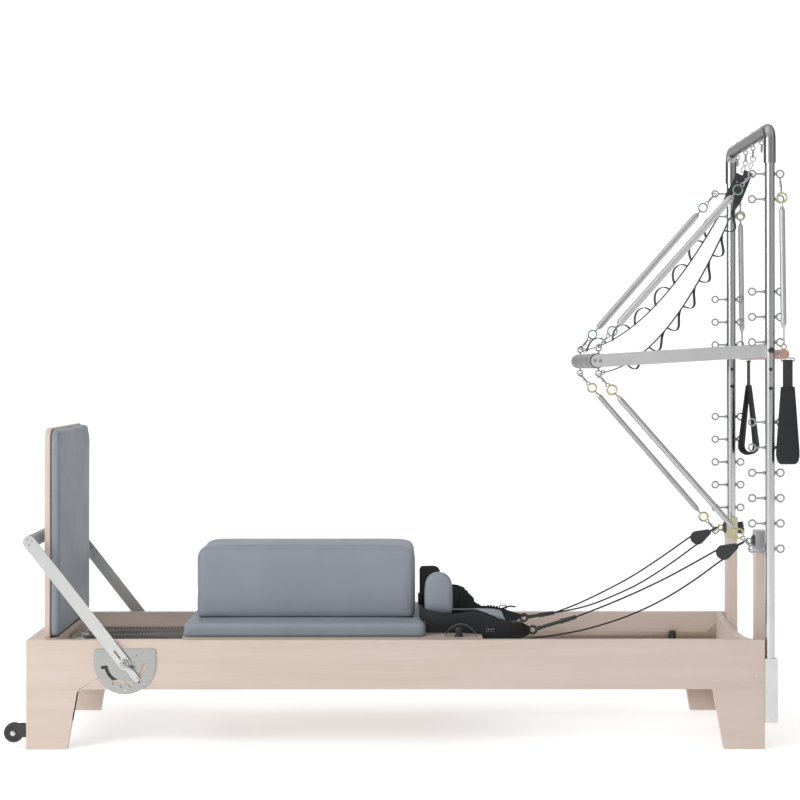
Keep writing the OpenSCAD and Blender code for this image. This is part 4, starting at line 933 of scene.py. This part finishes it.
class REFORMER_OT_upholstery(bpy.types.Operator):
    """Fill the carriage pad, sitting box, jumpboard pad, headrest and shoulder rests"""

    bl_idname = "reformer.upholstery"
    bl_label = "Upholstery"

    def execute(self, context):
        rest = (0.004, (0.002, 0.002, 0.0), 0.003, 3.0, (2, 0.004), 0.8)
        # Each cushion: its CAD node, its body and the values of padded_piece
        cushions = [
            ("carriage_pad", "carriage", 0.007, (0.001, 0.001, 0.0), 0.002, 1.2, (2, 0.006),
             0.9, 2, True),
            ("sitting_box", "box", 0.007, (0.0005, 0.0005, 0.0), 0.002, 1.0, (2, 0.008),
             0.9, 1, True),
            ("jumpboard_pad", "jumpboard", 0.007, (0.0, 0.0005, 0.0005), 0.002, 1.0, (0, 0.006),
             0.9, 1, True),
            ("headrest", "head_cushion", 0.006, (0.003, 0.003, 0.0), 0.004, 3.0, (2, 0.005), 0.8),
            ("shoulder_rest_front", "rest_front", *rest),
            ("shoulder_rest_rear", "rest_rear", *rest),
        ]
        for node, body, *values in cushions:
            settle_on(padded_piece(node, *values), body, "grey_leather", finish("upholstery"), node)
        return {"FINISHED"}


def squared(value, power):
    return math.copysign(abs(value) ** power, value)


def coil_spring(name, start, end, radius, wire, pitch, taper=0.016, sides=8, steps=16):
    """A wound spring between two points, narrowed at its ends. Turns that touch are
    ground to a flattened section, as the polished springs are."""
    length = (end - start).length
    turns = max(int(length / pitch), 2)
    power = 0.2 if wire > 0.9 * pitch else 1.0
    deselect()
    bpy.ops.mesh.primitive_circle_add(vertices=sides, radius=wire / 2, fill_type="NOTHING",
                                      location=(radius, 0, 0), rotation=(math.pi / 2, 0, 0))
    spring = added(name)
    for k, v in enumerate(spring.data.vertices):
        a = 2 * math.pi * (k + 0.5) / sides
        v.co = (radius + wire / 2 * squared(math.cos(a), power), 0,
                min(wire / 2, pitch * 0.49) * squared(math.sin(a), power))
    modified(spring, "SCREW", axis="Z", angle=2 * math.pi, screw_offset=(length - wire) / turns,
             iterations=turns, steps=steps, render_steps=steps, use_merge_vertices=False)
    with edit_mode(spring):
        bpy.ops.mesh.remove_doubles(threshold=0.000001)
        bpy.ops.mesh.fill_holes(sides=sides)
        bpy.ops.mesh.normals_make_consistent(inside=False)
    for v in spring.data.vertices:
        v.co.z += wire / 2
        near = min(v.co.z, length - v.co.z) / taper
        narrow = 0.5 + 0.5 * smoothstep(near)
        v.co.x *= narrow
        v.co.y *= narrow
    return turned(smooth(spring, 32 if power < 1 else 80), start, end - start)


def snap_link(name, eye, towards, side, length=0.056, width=0.016, wire=0.0040):
    """A bolt snap: a hook ring at eye, a waisted barrel with its thumb stud and a far ring."""
    along = Vector(towards).normalized()
    axis = Vector(side)
    axis = (axis - along * axis.dot(along)).normalized()
    loop = width / 2 - wire / 2
    near = eye + along * (width / 2 - wire)
    far = eye + along * (length - width / 2 - wire)
    middle = near.lerp(far, 0.5)
    across = axis.cross(along)
    return [torus(name, near, axis, loop, wire, 22, 8), torus(name, far, axis, loop, wire, 22, 8),
            cylinder(name, near + along * loop, middle, wire * 0.8, 12, 0.0004, 1.3),
            cylinder(name, far - along * loop, middle, wire * 0.8, 12, 0.0004, 1.3),
            cylinder(name, middle, middle + across * (width / 2), wire * 0.4, 8, 0.0003)]


def long_spring(name, start, end, diameter, link, ring_wire, tint):
    """The pieces of a hung spring, with a snap link, a coloured ring and a tapered neck at
    each end."""
    along = (end - start).normalized()
    side = Vector((0, 1, 0.1))
    reach = link - RING_RADIUS + ring_wire / 2 + 0.0034
    pieces, rings = [], []
    for point, way in ((start, along), (end, -along)):
        pieces += snap_link("link", point, way, side, reach)
        ring = point + way * link
        rings.append(torus("ring", ring, side, RING_RADIUS, ring_wire, 28, 8))
        neck = ring + way * (RING_RADIUS - 0.001)
        pieces.append(cylinder("neck", neck, neck + way * 0.014, NECK, 10))
        pieces.append(torus("hook", neck, way, 0.0045, 0.0024, 14, 6))
    reach = link + RING_RADIUS + 0.011
    coil = coil_spring("coil", start + along * reach, end - along * reach,
                       (diameter - 0.003) / 2, sizes().spring_wire, COIL_PITCH)
    paint(finish("zinc"), *pieces)
    paint(finish(tint), *rings)
    paint(finish("spring wire"), coil)
    return join([coil] + pieces + rings, name)


class REFORMER_OT_springs(bpy.types.Operator):
    """Hang the long springs of the tower and the springs under the carriage"""

    bl_idname = "reformer.springs"
    bl_label = "Springs"

    def execute(self, context):
        # Each long spring: its height at the post and at the push bar, and its own sizes
        rows = [
            ("upper", 1872, 1308.8, 0.0235, 0.068, 0.005, "green"),
            ("lower", 650, 1216.8, 0.0190, 0.066, 0.0068, "yellow"),
        ]
        for side, mark in ((-1, "front"), (1, "rear")):
            for level, post_z, push_z, *values in rows:
                start = place(1161.5, POST_Y * side, post_z)
                end = place(PUSH_EYE_X, PUSH_EYE_Y * side, push_z)
                name = "%s_spring_%s" % (level.capitalize(), mark)
                spring = long_spring(name, start, end, *values)
                stretch_between(spring, "spring_steel", level + "_springs")
            self.roll_down(side, mark)
        for number in range(5):
            self.under_carriage(number)
        return {"FINISHED"}

    def roll_down(self, side, mark):
        """A spring of the roll-down bar, from the tower's top eyebolt to the dowel."""
        y = ROLL_Y * side
        top = place(1253.5, POST_Y * side, 1859)
        ring = place(1256.5, y, 1793)
        hook = place(DOWEL_X, y, 1308)
        way = ring - top
        along = (hook - ring).normalized()
        pieces = snap_link("link", top, way.normalized(), Vector((1, 0, 0.1)), way.length - 0.009)
        pieces += [
            cylinder("neck", ring + along * 0.0145, ring + along * 0.032, NECK, 10),
            cylinder("tail", hook - along * 0.064, hook - along * 0.007, NECK, 10),
            torus("hook", hook, SIDEWAYS, 0.008, 0.0042, 22, 8),
            torus("collar", hook - along * 0.012, along, 0.0042, 0.0028, 14, 6),
            self.stirrup(*HANDS[mark]),
        ]
        coil = coil_spring("coil", ring + along * 0.026, hook - along * 0.060, 0.0080,
                           sizes().spring_wire, COIL_PITCH)
        band = torus("ring", ring, SIDEWAYS, RING_RADIUS, 0.0062, 28, 8)
        paint(finish("spring wire"), coil)
        paint(finish("zinc"), *pieces)
        paint(finish("yellow"), band)
        spring = join([coil, band] + pieces, "Roll_down_spring_" + mark)
        settle_on(spring, "roll_down_bar", "spring_steel", None, "roll_down_springs")

    def stirrup(self, y, turn):
        """The wire that holds a hand loop under the dowel."""
        way = Vector((math.cos(turn), math.sin(turn), 0))
        bottom = place(HAND_X, y, HAND_Z)
        rise = UP * 0.009
        points = []
        for sign in (-1, 1):
            corner = bottom + way * 0.021 * sign
            lift = corner + rise
            top = Vector((place_x(DOWEL_X), lift.y, 1.273))
            side = [top, lift.lerp(top, 0.15), lift, corner + rise * 0.2,
                    corner - way * sign * 0.003]
            points += side[::-sign]
        return tube("wire", curve_points(points, 3), 0.002, 8)

    def under_carriage(self, number):
        """One of the springs that pull the carriage towards the foot end."""
        y = (number - 2) * 100
        hook, low, beam = (place(x, y, 311) for x in (-1094.3, -1074, BEAM_X))
        high = beam - Vector((0.028, 0, 0))
        overlap = Vector((0.004, 0, 0))
        coil = coil_spring("coil", low, high, 0.0103, 0.0034, 0.0052, 0.02, 6, 14)
        pieces = [cylinder("button", hook - overlap, hook, 0.007, 18, 0.0008),
                  cylinder("neck", hook, low + overlap, 0.003, 12),
                  cylinder("eye", high - overlap, beam, 0.003, 12)]
        # The coil gets the dark spring finish
        paint(finish("oiled"), coil)
        paint(finish("plated"), *pieces)
        spring = join([coil] + pieces, "Carriage_spring_%d" % number)
        stretch_between(spring, "spring_steel", "carriage_springs")


class REFORMER_OT_foot_loops(bpy.types.Operator):
    """Lay the two padded foot loops round the shoulder rests, with their rings and sleeves"""

    bl_idname = "reformer.foot_loops"
    bl_label = "Foot Loops"

    def execute(self, context):
        # Upper and lower edges of the bands over the deck, along their axis
        front = [(-66, 88), (42, 69), (78, 70), (118, 73), (158, 61), (190, 47), (220, 40),
                 (272, 38), (312, 18)]
        rear = [(-66, 86), (30, 94), (58, 112), (80, 109), (90, 92), (104, 89), (107, 70),
                (129, 54), (156, 38), (220, 31), (312, 6)]
        level = [(147.5, 0), (157.5, -20), (272, -20), (312, 0)]
        raised = [(-66, 44), (-14, 35), (22, 23), (58, 12), (100, 2)] + level
        self.loop("front", -REST_Y, (LOOP_RING_X, -215, 368), (600, -234, 414), front, raised)
        self.loop("rear", REST_Y, (LOOP_RING_X, 205, 352), (566, 228, 366), rear, level)
        self.keeper()
        return {"FINISHED"}

    def keeper(self):
        """The strap over the front peg, the leather wrap, the knots and the stitches."""
        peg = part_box("loop_pegs")[0].y + 0.015
        arch = [(163, 359), (171, 372), (186, 386), (204, 394), (220, 395), (238, 389),
                (256, 376), (268, 360)]
        path = curve_points([Vector((place_x(x), peg, z / 1000)) for x, z in arch], 4)
        strap = ribbon("strap", path, 0.013, 0.0055, SIDEWAYS)
        loops = [torus("loop", Vector((place_x(x), peg - 0.004, 0.3605)), (1, 0, 0.2), 0.0042,
                       0.0022, 18, 8) for x in (arch[0][0], arch[-1][0])]
        wrap = block("wrap", place(386, -238, 349), place(424, -199, 397), 0.007, 3)
        feet = [place(302 + 6 * k, -234.5 - 0.4 * k, 363) for k in range(5)]
        stitches = [cylinder("stitch", foot, foot + UP * 0.013, 0.0008, 8, 0.0003)
                    for foot in feet]
        knots = [torus("knot", place(x, 212, z), (1, lean, 0.25), 0.0048, 0.0062, 18, 8)
                 for x, z, lean in ((330, 389, 0.3), (340, 389, -0.3), (351, 387, 0.3),
                                    (361, 386, -0.3))]
        knots.append(torus("bow", place(382, 213, 388), (0, 1, 0.3), 0.0075, 0.0036, 26, 8,
                           0.012, (1, 0, 0)))
        ends = [(364, 384), (378, 383), (392, 388), (408, 391), (427, 389)]
        tail = tube("tail", curve_points([place(x, 214, z) for x, z in ends], 4), 0.0028, 8)
        paint(finish("webbing"), strap)
        paint(finish("plated"), *loops, *stitches)
        paint(finish("brown hide"), wrap)
        paint(finish("padding"), *knots)
        paint(finish("rope"), tail)
        whole = join([strap, *loops, wrap, *stitches, *knots, tail], "Foot_loop_keeper")
        settle_on(whole, "carriage", "black_webbing", None, "foot_loops")

    def loop(self, mark, y, ring_at, sleeve_at, tops, lows):
        """A band round a shoulder rest, its ring and the sleeve of its rope."""
        turn = math.atan2(ring_at[1] - y, ring_at[0] - REST_X)
        c, s = math.cos(turn), math.sin(turn)
        path, widths = [], []
        for along, across in teardrop(61, 8, 292, 32, 36):
            point = place(REST_X + along * c - across * s, y + along * s + across * c, 0)
            low = on_line(lows, along) + 0.6
            world_x = (point.x + MID_X) * 1000
            if world_x < 113:
                low = max(low, on_line([(101, 46.8), (113, 0.6)], world_x))
            top = on_line(tops, along)
            path.append(Vector((point.x, point.y, (DECK_TOP + 0.3 + (low + top) / 2) / 1000)))
            widths.append((top - low) / 1000)
        band = ribbon("Foot_loop_" + mark, path, widths, 0.0082, UP, closed=True)
        settle_on(band, "carriage", "black_webbing", finish("padding"), "foot_loops")
        ring = place(*ring_at)
        end = place(*sleeve_at)
        way = (end - ring).normalized()
        start = ring + way * 0.012
        pieces = [
            torus("ring", ring, Vector((-s, c, 0)), 0.0122, 0.0086, 30, 12),
            cylinder("sleeve", start + way * 0.012, end - way * 0.045, 0.0062, 14, 0.001),
            cylinder("throat", start, start + way * 0.018, 0.0072, 14, 0.0015),
            cylinder("mouth", end - way * 0.058, end, 0.0088, 14, 0.003, 0.75),
        ]
        paint(finish("plastic"), *pieces)
        sleeve = join(pieces, "Foot_loop_ring_" + mark)
        settle_on(sleeve, None, "black_webbing", None, "foot_loops")
        follow_rope(sleeve)


class REFORMER_OT_straps(bpy.types.Operator):
    """Hang the two ladder straps and the two hand loops"""

    bl_idname = "reformer.straps"
    bl_label = "Straps"

    def execute(self, context):
        # The form of a hold on each strap, along it and away from it
        front = [(0, 0), (10, 4), (22, 11), (34, 20), (46, 28), (56, 31), (64, 29), (70, 22),
                 (74, 12), (76, 0)]
        rear = [(0, 0), (3, 14), (10, 24), (22, 30), (36, 31), (50, 26), (64, 15), (76, 0)]
        self.ladder("front", place(POST_X, -66, 1949), place(678.5, -294.7, 1224.1), 160, 1,
                    0.155, front)
        self.ladder("rear", place(POST_X, 66, 1949), place(678.85, 300, 1302.2), 134, -1,
                    0.180, rear)
        self.hand_loop("front", 30)
        self.hand_loop("rear", 64)
        return {"FINISHED"}

    def ladder(self, mark, top, foot, sag, side, first_hold, shape):
        """A sagging strap with its holds. It hangs edge on at the top and turns flat."""
        steps = 90
        line = []
        for k in range(steps + 1):
            # The hook takes up the first part of the way
            t = 0.03 + 0.97 * k / steps
            line.append(top.lerp(foot, t) - Vector((0, 0, sag * 4 * t * (1 - t) / 1000)))
        level = -SIDEWAYS
        across, widths = [], []
        for k in range(steps + 1):
            t = k / steps
            ahead = (line[min(k + 1, steps)] - line[max(k - 1, 0)]).normalized()
            flat = math.pi / 2 * (1 - smoothstep((t - 0.055) / 0.085))
            across.append(level * math.cos(flat) + ahead.cross(level) * math.sin(flat))
            widths.append(0.030 - 0.004 * smoothstep((t - 0.06) / 0.08))
        pieces = [ribbon("strap", line, widths, 0.0028, across)]
        reached = 0.0
        for k in range(steps):
            reached += (line[k + 1] - line[k]).length
            holds = len(pieces) - 1
            if holds < HOLDS and reached > first_hold + holds * HOLD_PITCH:
                ahead = (line[k + 6] - line[k]).normalized()
                out = ahead.cross(level)
                if out.z * side > 0:
                    out = -out
                points = [line[k] + ahead * a / 1000 + out * o / 1000 for a, o in shape]
                pieces.append(ribbon("hold", curve_points(points, 3), 0.024, 0.0028,
                                     Vector((0.12, -1, 0))))
        drop = line[0] - top
        rivet = across[2].cross(line[3] - line[1]).normalized() * 0.003
        hooks = [torus("hook", top + UP * 0.004, SIDEWAYS, 0.0085, 0.0034, 22, 8),
                 torus("link", top + drop * 0.5, SIDEWAYS, 0.0050, 0.0032, 24, 8, 0.012, drop),
                 torus("end", foot + (line[-2] - foot).normalized() * 0.003, level, 0.0065,
                       0.003, 20, 8),
                 cylinder("rivet", line[2] - rivet, line[2] + rivet, 0.004, 12)]
        paint(finish("webbing"), *pieces)
        paint(finish("zinc"), *hooks)
        whole = join(pieces + hooks, "Ladder_strap_" + mark)
        stretch_between(whole, "black_webbing", "ladder_straps")

    def hand_loop(self, mark, spread):
        """A padded hand loop on its webbing, hanging from the stirrup."""
        y, turn = HANDS[mark]
        origin = place(HAND_X, y, HAND_Z)
        side = Vector((math.cos(turn), math.sin(turn), 0))
        out = Vector((-math.sin(turn), math.cos(turn), 0))
        left = [(-1.25, -8 - 9 * k) for k in range(10)]
        right = [(1.25, h) for o, h in reversed(left)]
        line = right + arc(3.5, -1.35, math.pi + 1.35, 8) + left
        path = [origin + out * o / 1000 + UP * h / 1000 for o, h in line]
        belt = ribbon("webbing", path, 0.032, 0.0022, side)
        # Width of the padding by height under the stirrup
        wide = [(-336, 46), (-330, 58), (-322, 67), (-312, 73), (-298, 74), (-200, 61),
                (-82, 45)]
        bottom = -336 + spread / 2
        path, widths, thick = [], [], []
        for h, o in teardrop(spread / 2 - 5, 3.2, 246 - spread / 2, 24, 16):
            z = bottom + h
            path.append(origin - out * o / 1000 + UP * z / 1000)
            widths.append(on_line(wide, z) / 1000)
            thick.append(on_line([(-300, 9.5), (-100, 7.5)], z) / 1000)
        pad = ribbon("pad", path, widths, thick, side, closed=True)
        paint(finish("padding"), pad)
        paint(finish("webbing"), belt)
        whole = join([pad, belt], "Hand_loop_" + mark)
        settle_on(whole, "hand_strap_" + mark, "black_webbing", None, "hand_loop_" + mark)


class REFORMER_OT_fittings(bpy.types.Operator):
    """Round the shoulder shells, and add screws, levers, caps, plugs, liners and hub bolts"""

    bl_idname = "reformer.fittings"
    bl_label = "Fittings"

    def execute(self, context):
        for mark in ("front", "rear"):
            node = "shoulder_base_" + mark
            shell = rounded_copy(node, node.capitalize(), 0.0025, 2)
            settle_on(shell, "rest_" + mark, "black_plastic", finish("plastic"), node)
        heads, washers, plugs, liners, hubs = [], [], [], [], []
        for side in (-1, 1):
            out = SIDEWAYS * side
            # Screws of the footbar's grip, and the levers on its pivots
            for dx, dz in ((-7, 9), (8, 4), (-2, -9)):
                spot = place(FOOTBAR_X + dx, side * 374.5, FOOTBAR_Z + dz)
                heads.append(cylinder("screw", spot - out * 0.002, spot, 0.0036, 14, 0.0008))
            start = place(PIVOT_X, side * 381.4, PIVOT_Z)
            lever = start + Vector((0.030, 0, -0.018))
            heads.append(cylinder("lever", start, lever, 0.0038, 12, 0.001))
            heads.append(cylinder("head", start, start + out * 0.003, 0.0105, 24, 0.0012))
            washers.append(torus("washer", start, SIDEWAYS, 0.0125, 0.0032, 28, 8))
            # Caps on the push bar's pivot bolts, and plugs in the posts' spare holes
            face = place(POST_X, side * (POST_Y + POST_RADIUS + 6.2), PUSH_PIVOT_Z)
            plugs.append(cylinder("bolt", face, face + out * 0.0035, 0.0105, 6, 0.001))
            plugs.append(cylinder("stud", face + out * 0.003, face + out * 0.0065, 0.0045, 16,
                                  0.0012))
            for z in SPARE_HOLES:
                middle = place(POST_X, side * POST_Y, z)
                reach = SIDEWAYS * (POST_RADIUS - 1.5) / 1000
                plugs.append(cylinder("plug", middle - reach, middle + reach, 0.0059, 18, 0.0012))
            # Liners behind the foot ends of the footbar plates' slots
            near, far = sorted((side * 360.4, side * 361.4))
            liners.append(block("liner", place(-962, near, 226), place(-905, far, 292), 0.0003, 1))
            # Hub bolts of the transport wheels
            hub = place(ROLLER[0], side * (ROLLER[1] + 17), ROLLER[2])
            hubs.append(cylinder("hub", hub, hub + out * 0.0045, 0.0085, 20, 0.0015))
            hubs.append(cylinder("stud", hub + out * 0.004, hub + out * 0.0065, 0.0045, 14, 0.0012))
        paint(finish("zinc"), *heads)
        paint(finish("coated"), *washers)
        settle_on(join(heads + washers, "Footbar_screws"), "footbar", "polished_steel", None)
        for name, pieces, slot, key in (("Tower_plugs", plugs, "black_plastic", "plastic"),
                                        ("Slot_liners", liners, "black_plastic", "plastic"),
                                        ("Wheel_hub_bolts", hubs, "polished_steel", "plated")):
            settle_on(join(pieces, name), "frame", slot, finish(key))
        return {"FINISHED"}


class REFORMER_OT_finishes(bpy.types.Operator):
    """Give every shown CAD solid its finish"""

    bl_idname = "reformer.finishes"
    bl_label = "Finishes"

    def execute(self, context):
        by_slot = {
            "frame_wood": "maple x", "aluminium": "satin", "polished_steel": "polished",
            "spring_steel": "spring wire", "plated_steel": "plated", "dark_metal": "coated",
            "black_rubber": "rubber", "black_plastic": "plastic", "grey_leather": "upholstery",
            "black_webbing": "padding", "black_rope": "padding", "dowel_wood": "dowel",
        }
        by_node = {
            "tracks": "warm", "riser_caps": "caps", "eyebolts_front": "zinc",
            "eyebolts_rear": "zinc", "bow_eyebolts": "zinc", "push_bar_eyebolts": "zinc",
            "push_bar_tube": "grip", "tower_bow": "smoked", "footbar_plates": "plate",
        }
        for row in frame["record"]["subparts"]:
            node = frame["nodes"][row["node"]]
            node.data.materials.clear()
            paint(finish(by_node.get(row["node"]) or by_slot[row["material_slot"]]), node)
        return {"FINISHED"}


class REFORMER_OT_stage(bpy.types.Operator):
    """Lay a pale floor and set soft studio lights"""

    bl_idname = "reformer.stage"
    bl_label = "Stage"

    def execute(self, context):
        deselect()
        bpy.ops.mesh.primitive_plane_add(size=40, location=(0, 0, 0))
        floor = added("Floor")
        material, tree, shader, where = material_base("Pale floor")
        tone = noise(tree, where, 0.8, 2.0)
        base = blend_colour(tree, tone, (0.92, 0.92, 0.92, 1), (0.935, 0.935, 0.935, 1))
        feed(tree, shader, {
            "Base Color": base, "Roughness": 0.9, "Specular IOR Level": 0.1,
            "Emission Color": (1, 1, 1, 1), "Emission Strength": 0.42})
        paint(material, floor)
        world = bpy.data.worlds.new("Studio")
        context.scene.world = world
        world.use_nodes = True
        feed(world.node_tree, world.node_tree.nodes["Background"],
             {0: self.studio_walls(world.node_tree), 1: WORLD_TOP})
        for name, where, size, power, aim in LAMPS:
            data = bpy.data.lights.new(name, "AREA")
            data.energy = power
            data.size = size
            lamp = bpy.data.objects.new(name, data)
            context.scene.collection.objects.link(lamp)
            lamp.location = where
            look = Vector(aim) - lamp.location
            lamp.rotation_euler = look.to_track_quat("-Z", "Y").to_euler()
        context.scene.view_settings.view_transform = "Standard"
        context.scene.view_settings.look = "None"
        return {"FINISHED"}

    def studio_walls(self, tree):
        """The studio round the object by compass direction: bright panels left and right of
        the camera, dark side walls, a white sweep behind and a bright ceiling."""
        where = tree.nodes.new("ShaderNodeTexCoord").outputs["Generated"]
        parts = add_node(tree, "ShaderNodeSeparateXYZ", {0: where}).outputs
        compass = maths(tree, "ARCTAN2", parts[0], maths(tree, "MULTIPLY", parts[1], -1.0))
        share = maths(tree, "MULTIPLY_ADD", compass, 0.5 / math.pi, 0.5)
        walls = add_node(tree, "ShaderNodeValToRGB", {0: share})
        stops = walls.color_ramp.elements
        while len(stops) < len(STUDIO):
            stops.new(0.5)
        for stop, (degrees, level) in zip(stops, STUDIO):
            stop.position = 0.5 + degrees / 360
            stop.color = (level / WORLD_TOP,) * 3 + (1,)
        high = ramp(tree, maths(tree, "ABSOLUTE", parts[2]), 0.3, 0.8,
                    interpolation_type="SMOOTHSTEP")
        return blend_colour(tree, high, walls.outputs[0], (CEILING / WORLD_TOP,) * 3 + (1,))


STEPS = [
    REFORMER_OT_camera,
    REFORMER_OT_ropes,
    REFORMER_OT_finishes,
    REFORMER_OT_timber,
    REFORMER_OT_upholstery,
    REFORMER_OT_springs,
    REFORMER_OT_straps,
    REFORMER_OT_foot_loops,
    REFORMER_OT_fittings,
    REFORMER_OT_stage,
]


class REFORMER_PT_panel(bpy.types.Panel):
    """Steps that dress the reformer"""

    bl_idname = "REFORMER_PT_panel"
    bl_label = "Pilates Reformer"
    bl_space_type = "VIEW_3D"
    bl_region_type = "UI"
    bl_category = "Reformer"

    def draw(self, context):
        for group in (context.scene.reformer_colours, context.scene.reformer_sizes):
            for name in group.__annotations__:
                self.layout.prop(group, name)
        for step in STEPS:
            self.layout.operator(step.bl_idname)


CLASSES = [ReformerColours, ReformerSizes] + STEPS + [REFORMER_PT_panel]


def register():
    for item in CLASSES:
        bpy.utils.register_class(item)
    bpy.types.Scene.reformer_colours = bpy.props.PointerProperty(type=ReformerColours)
    bpy.types.Scene.reformer_sizes = bpy.props.PointerProperty(type=ReformerSizes)


def unregister():
    del bpy.types.Scene.reformer_colours
    del bpy.types.Scene.reformer_sizes
    for item in reversed(CLASSES):
        bpy.utils.unregister_class(item)


def main():
    register()
    for step in STEPS:
        group, name = step.bl_idname.split(".")
        getattr(getattr(bpy.ops, group), name)()
    deselect()


if __name__ == "__main__":
    main()
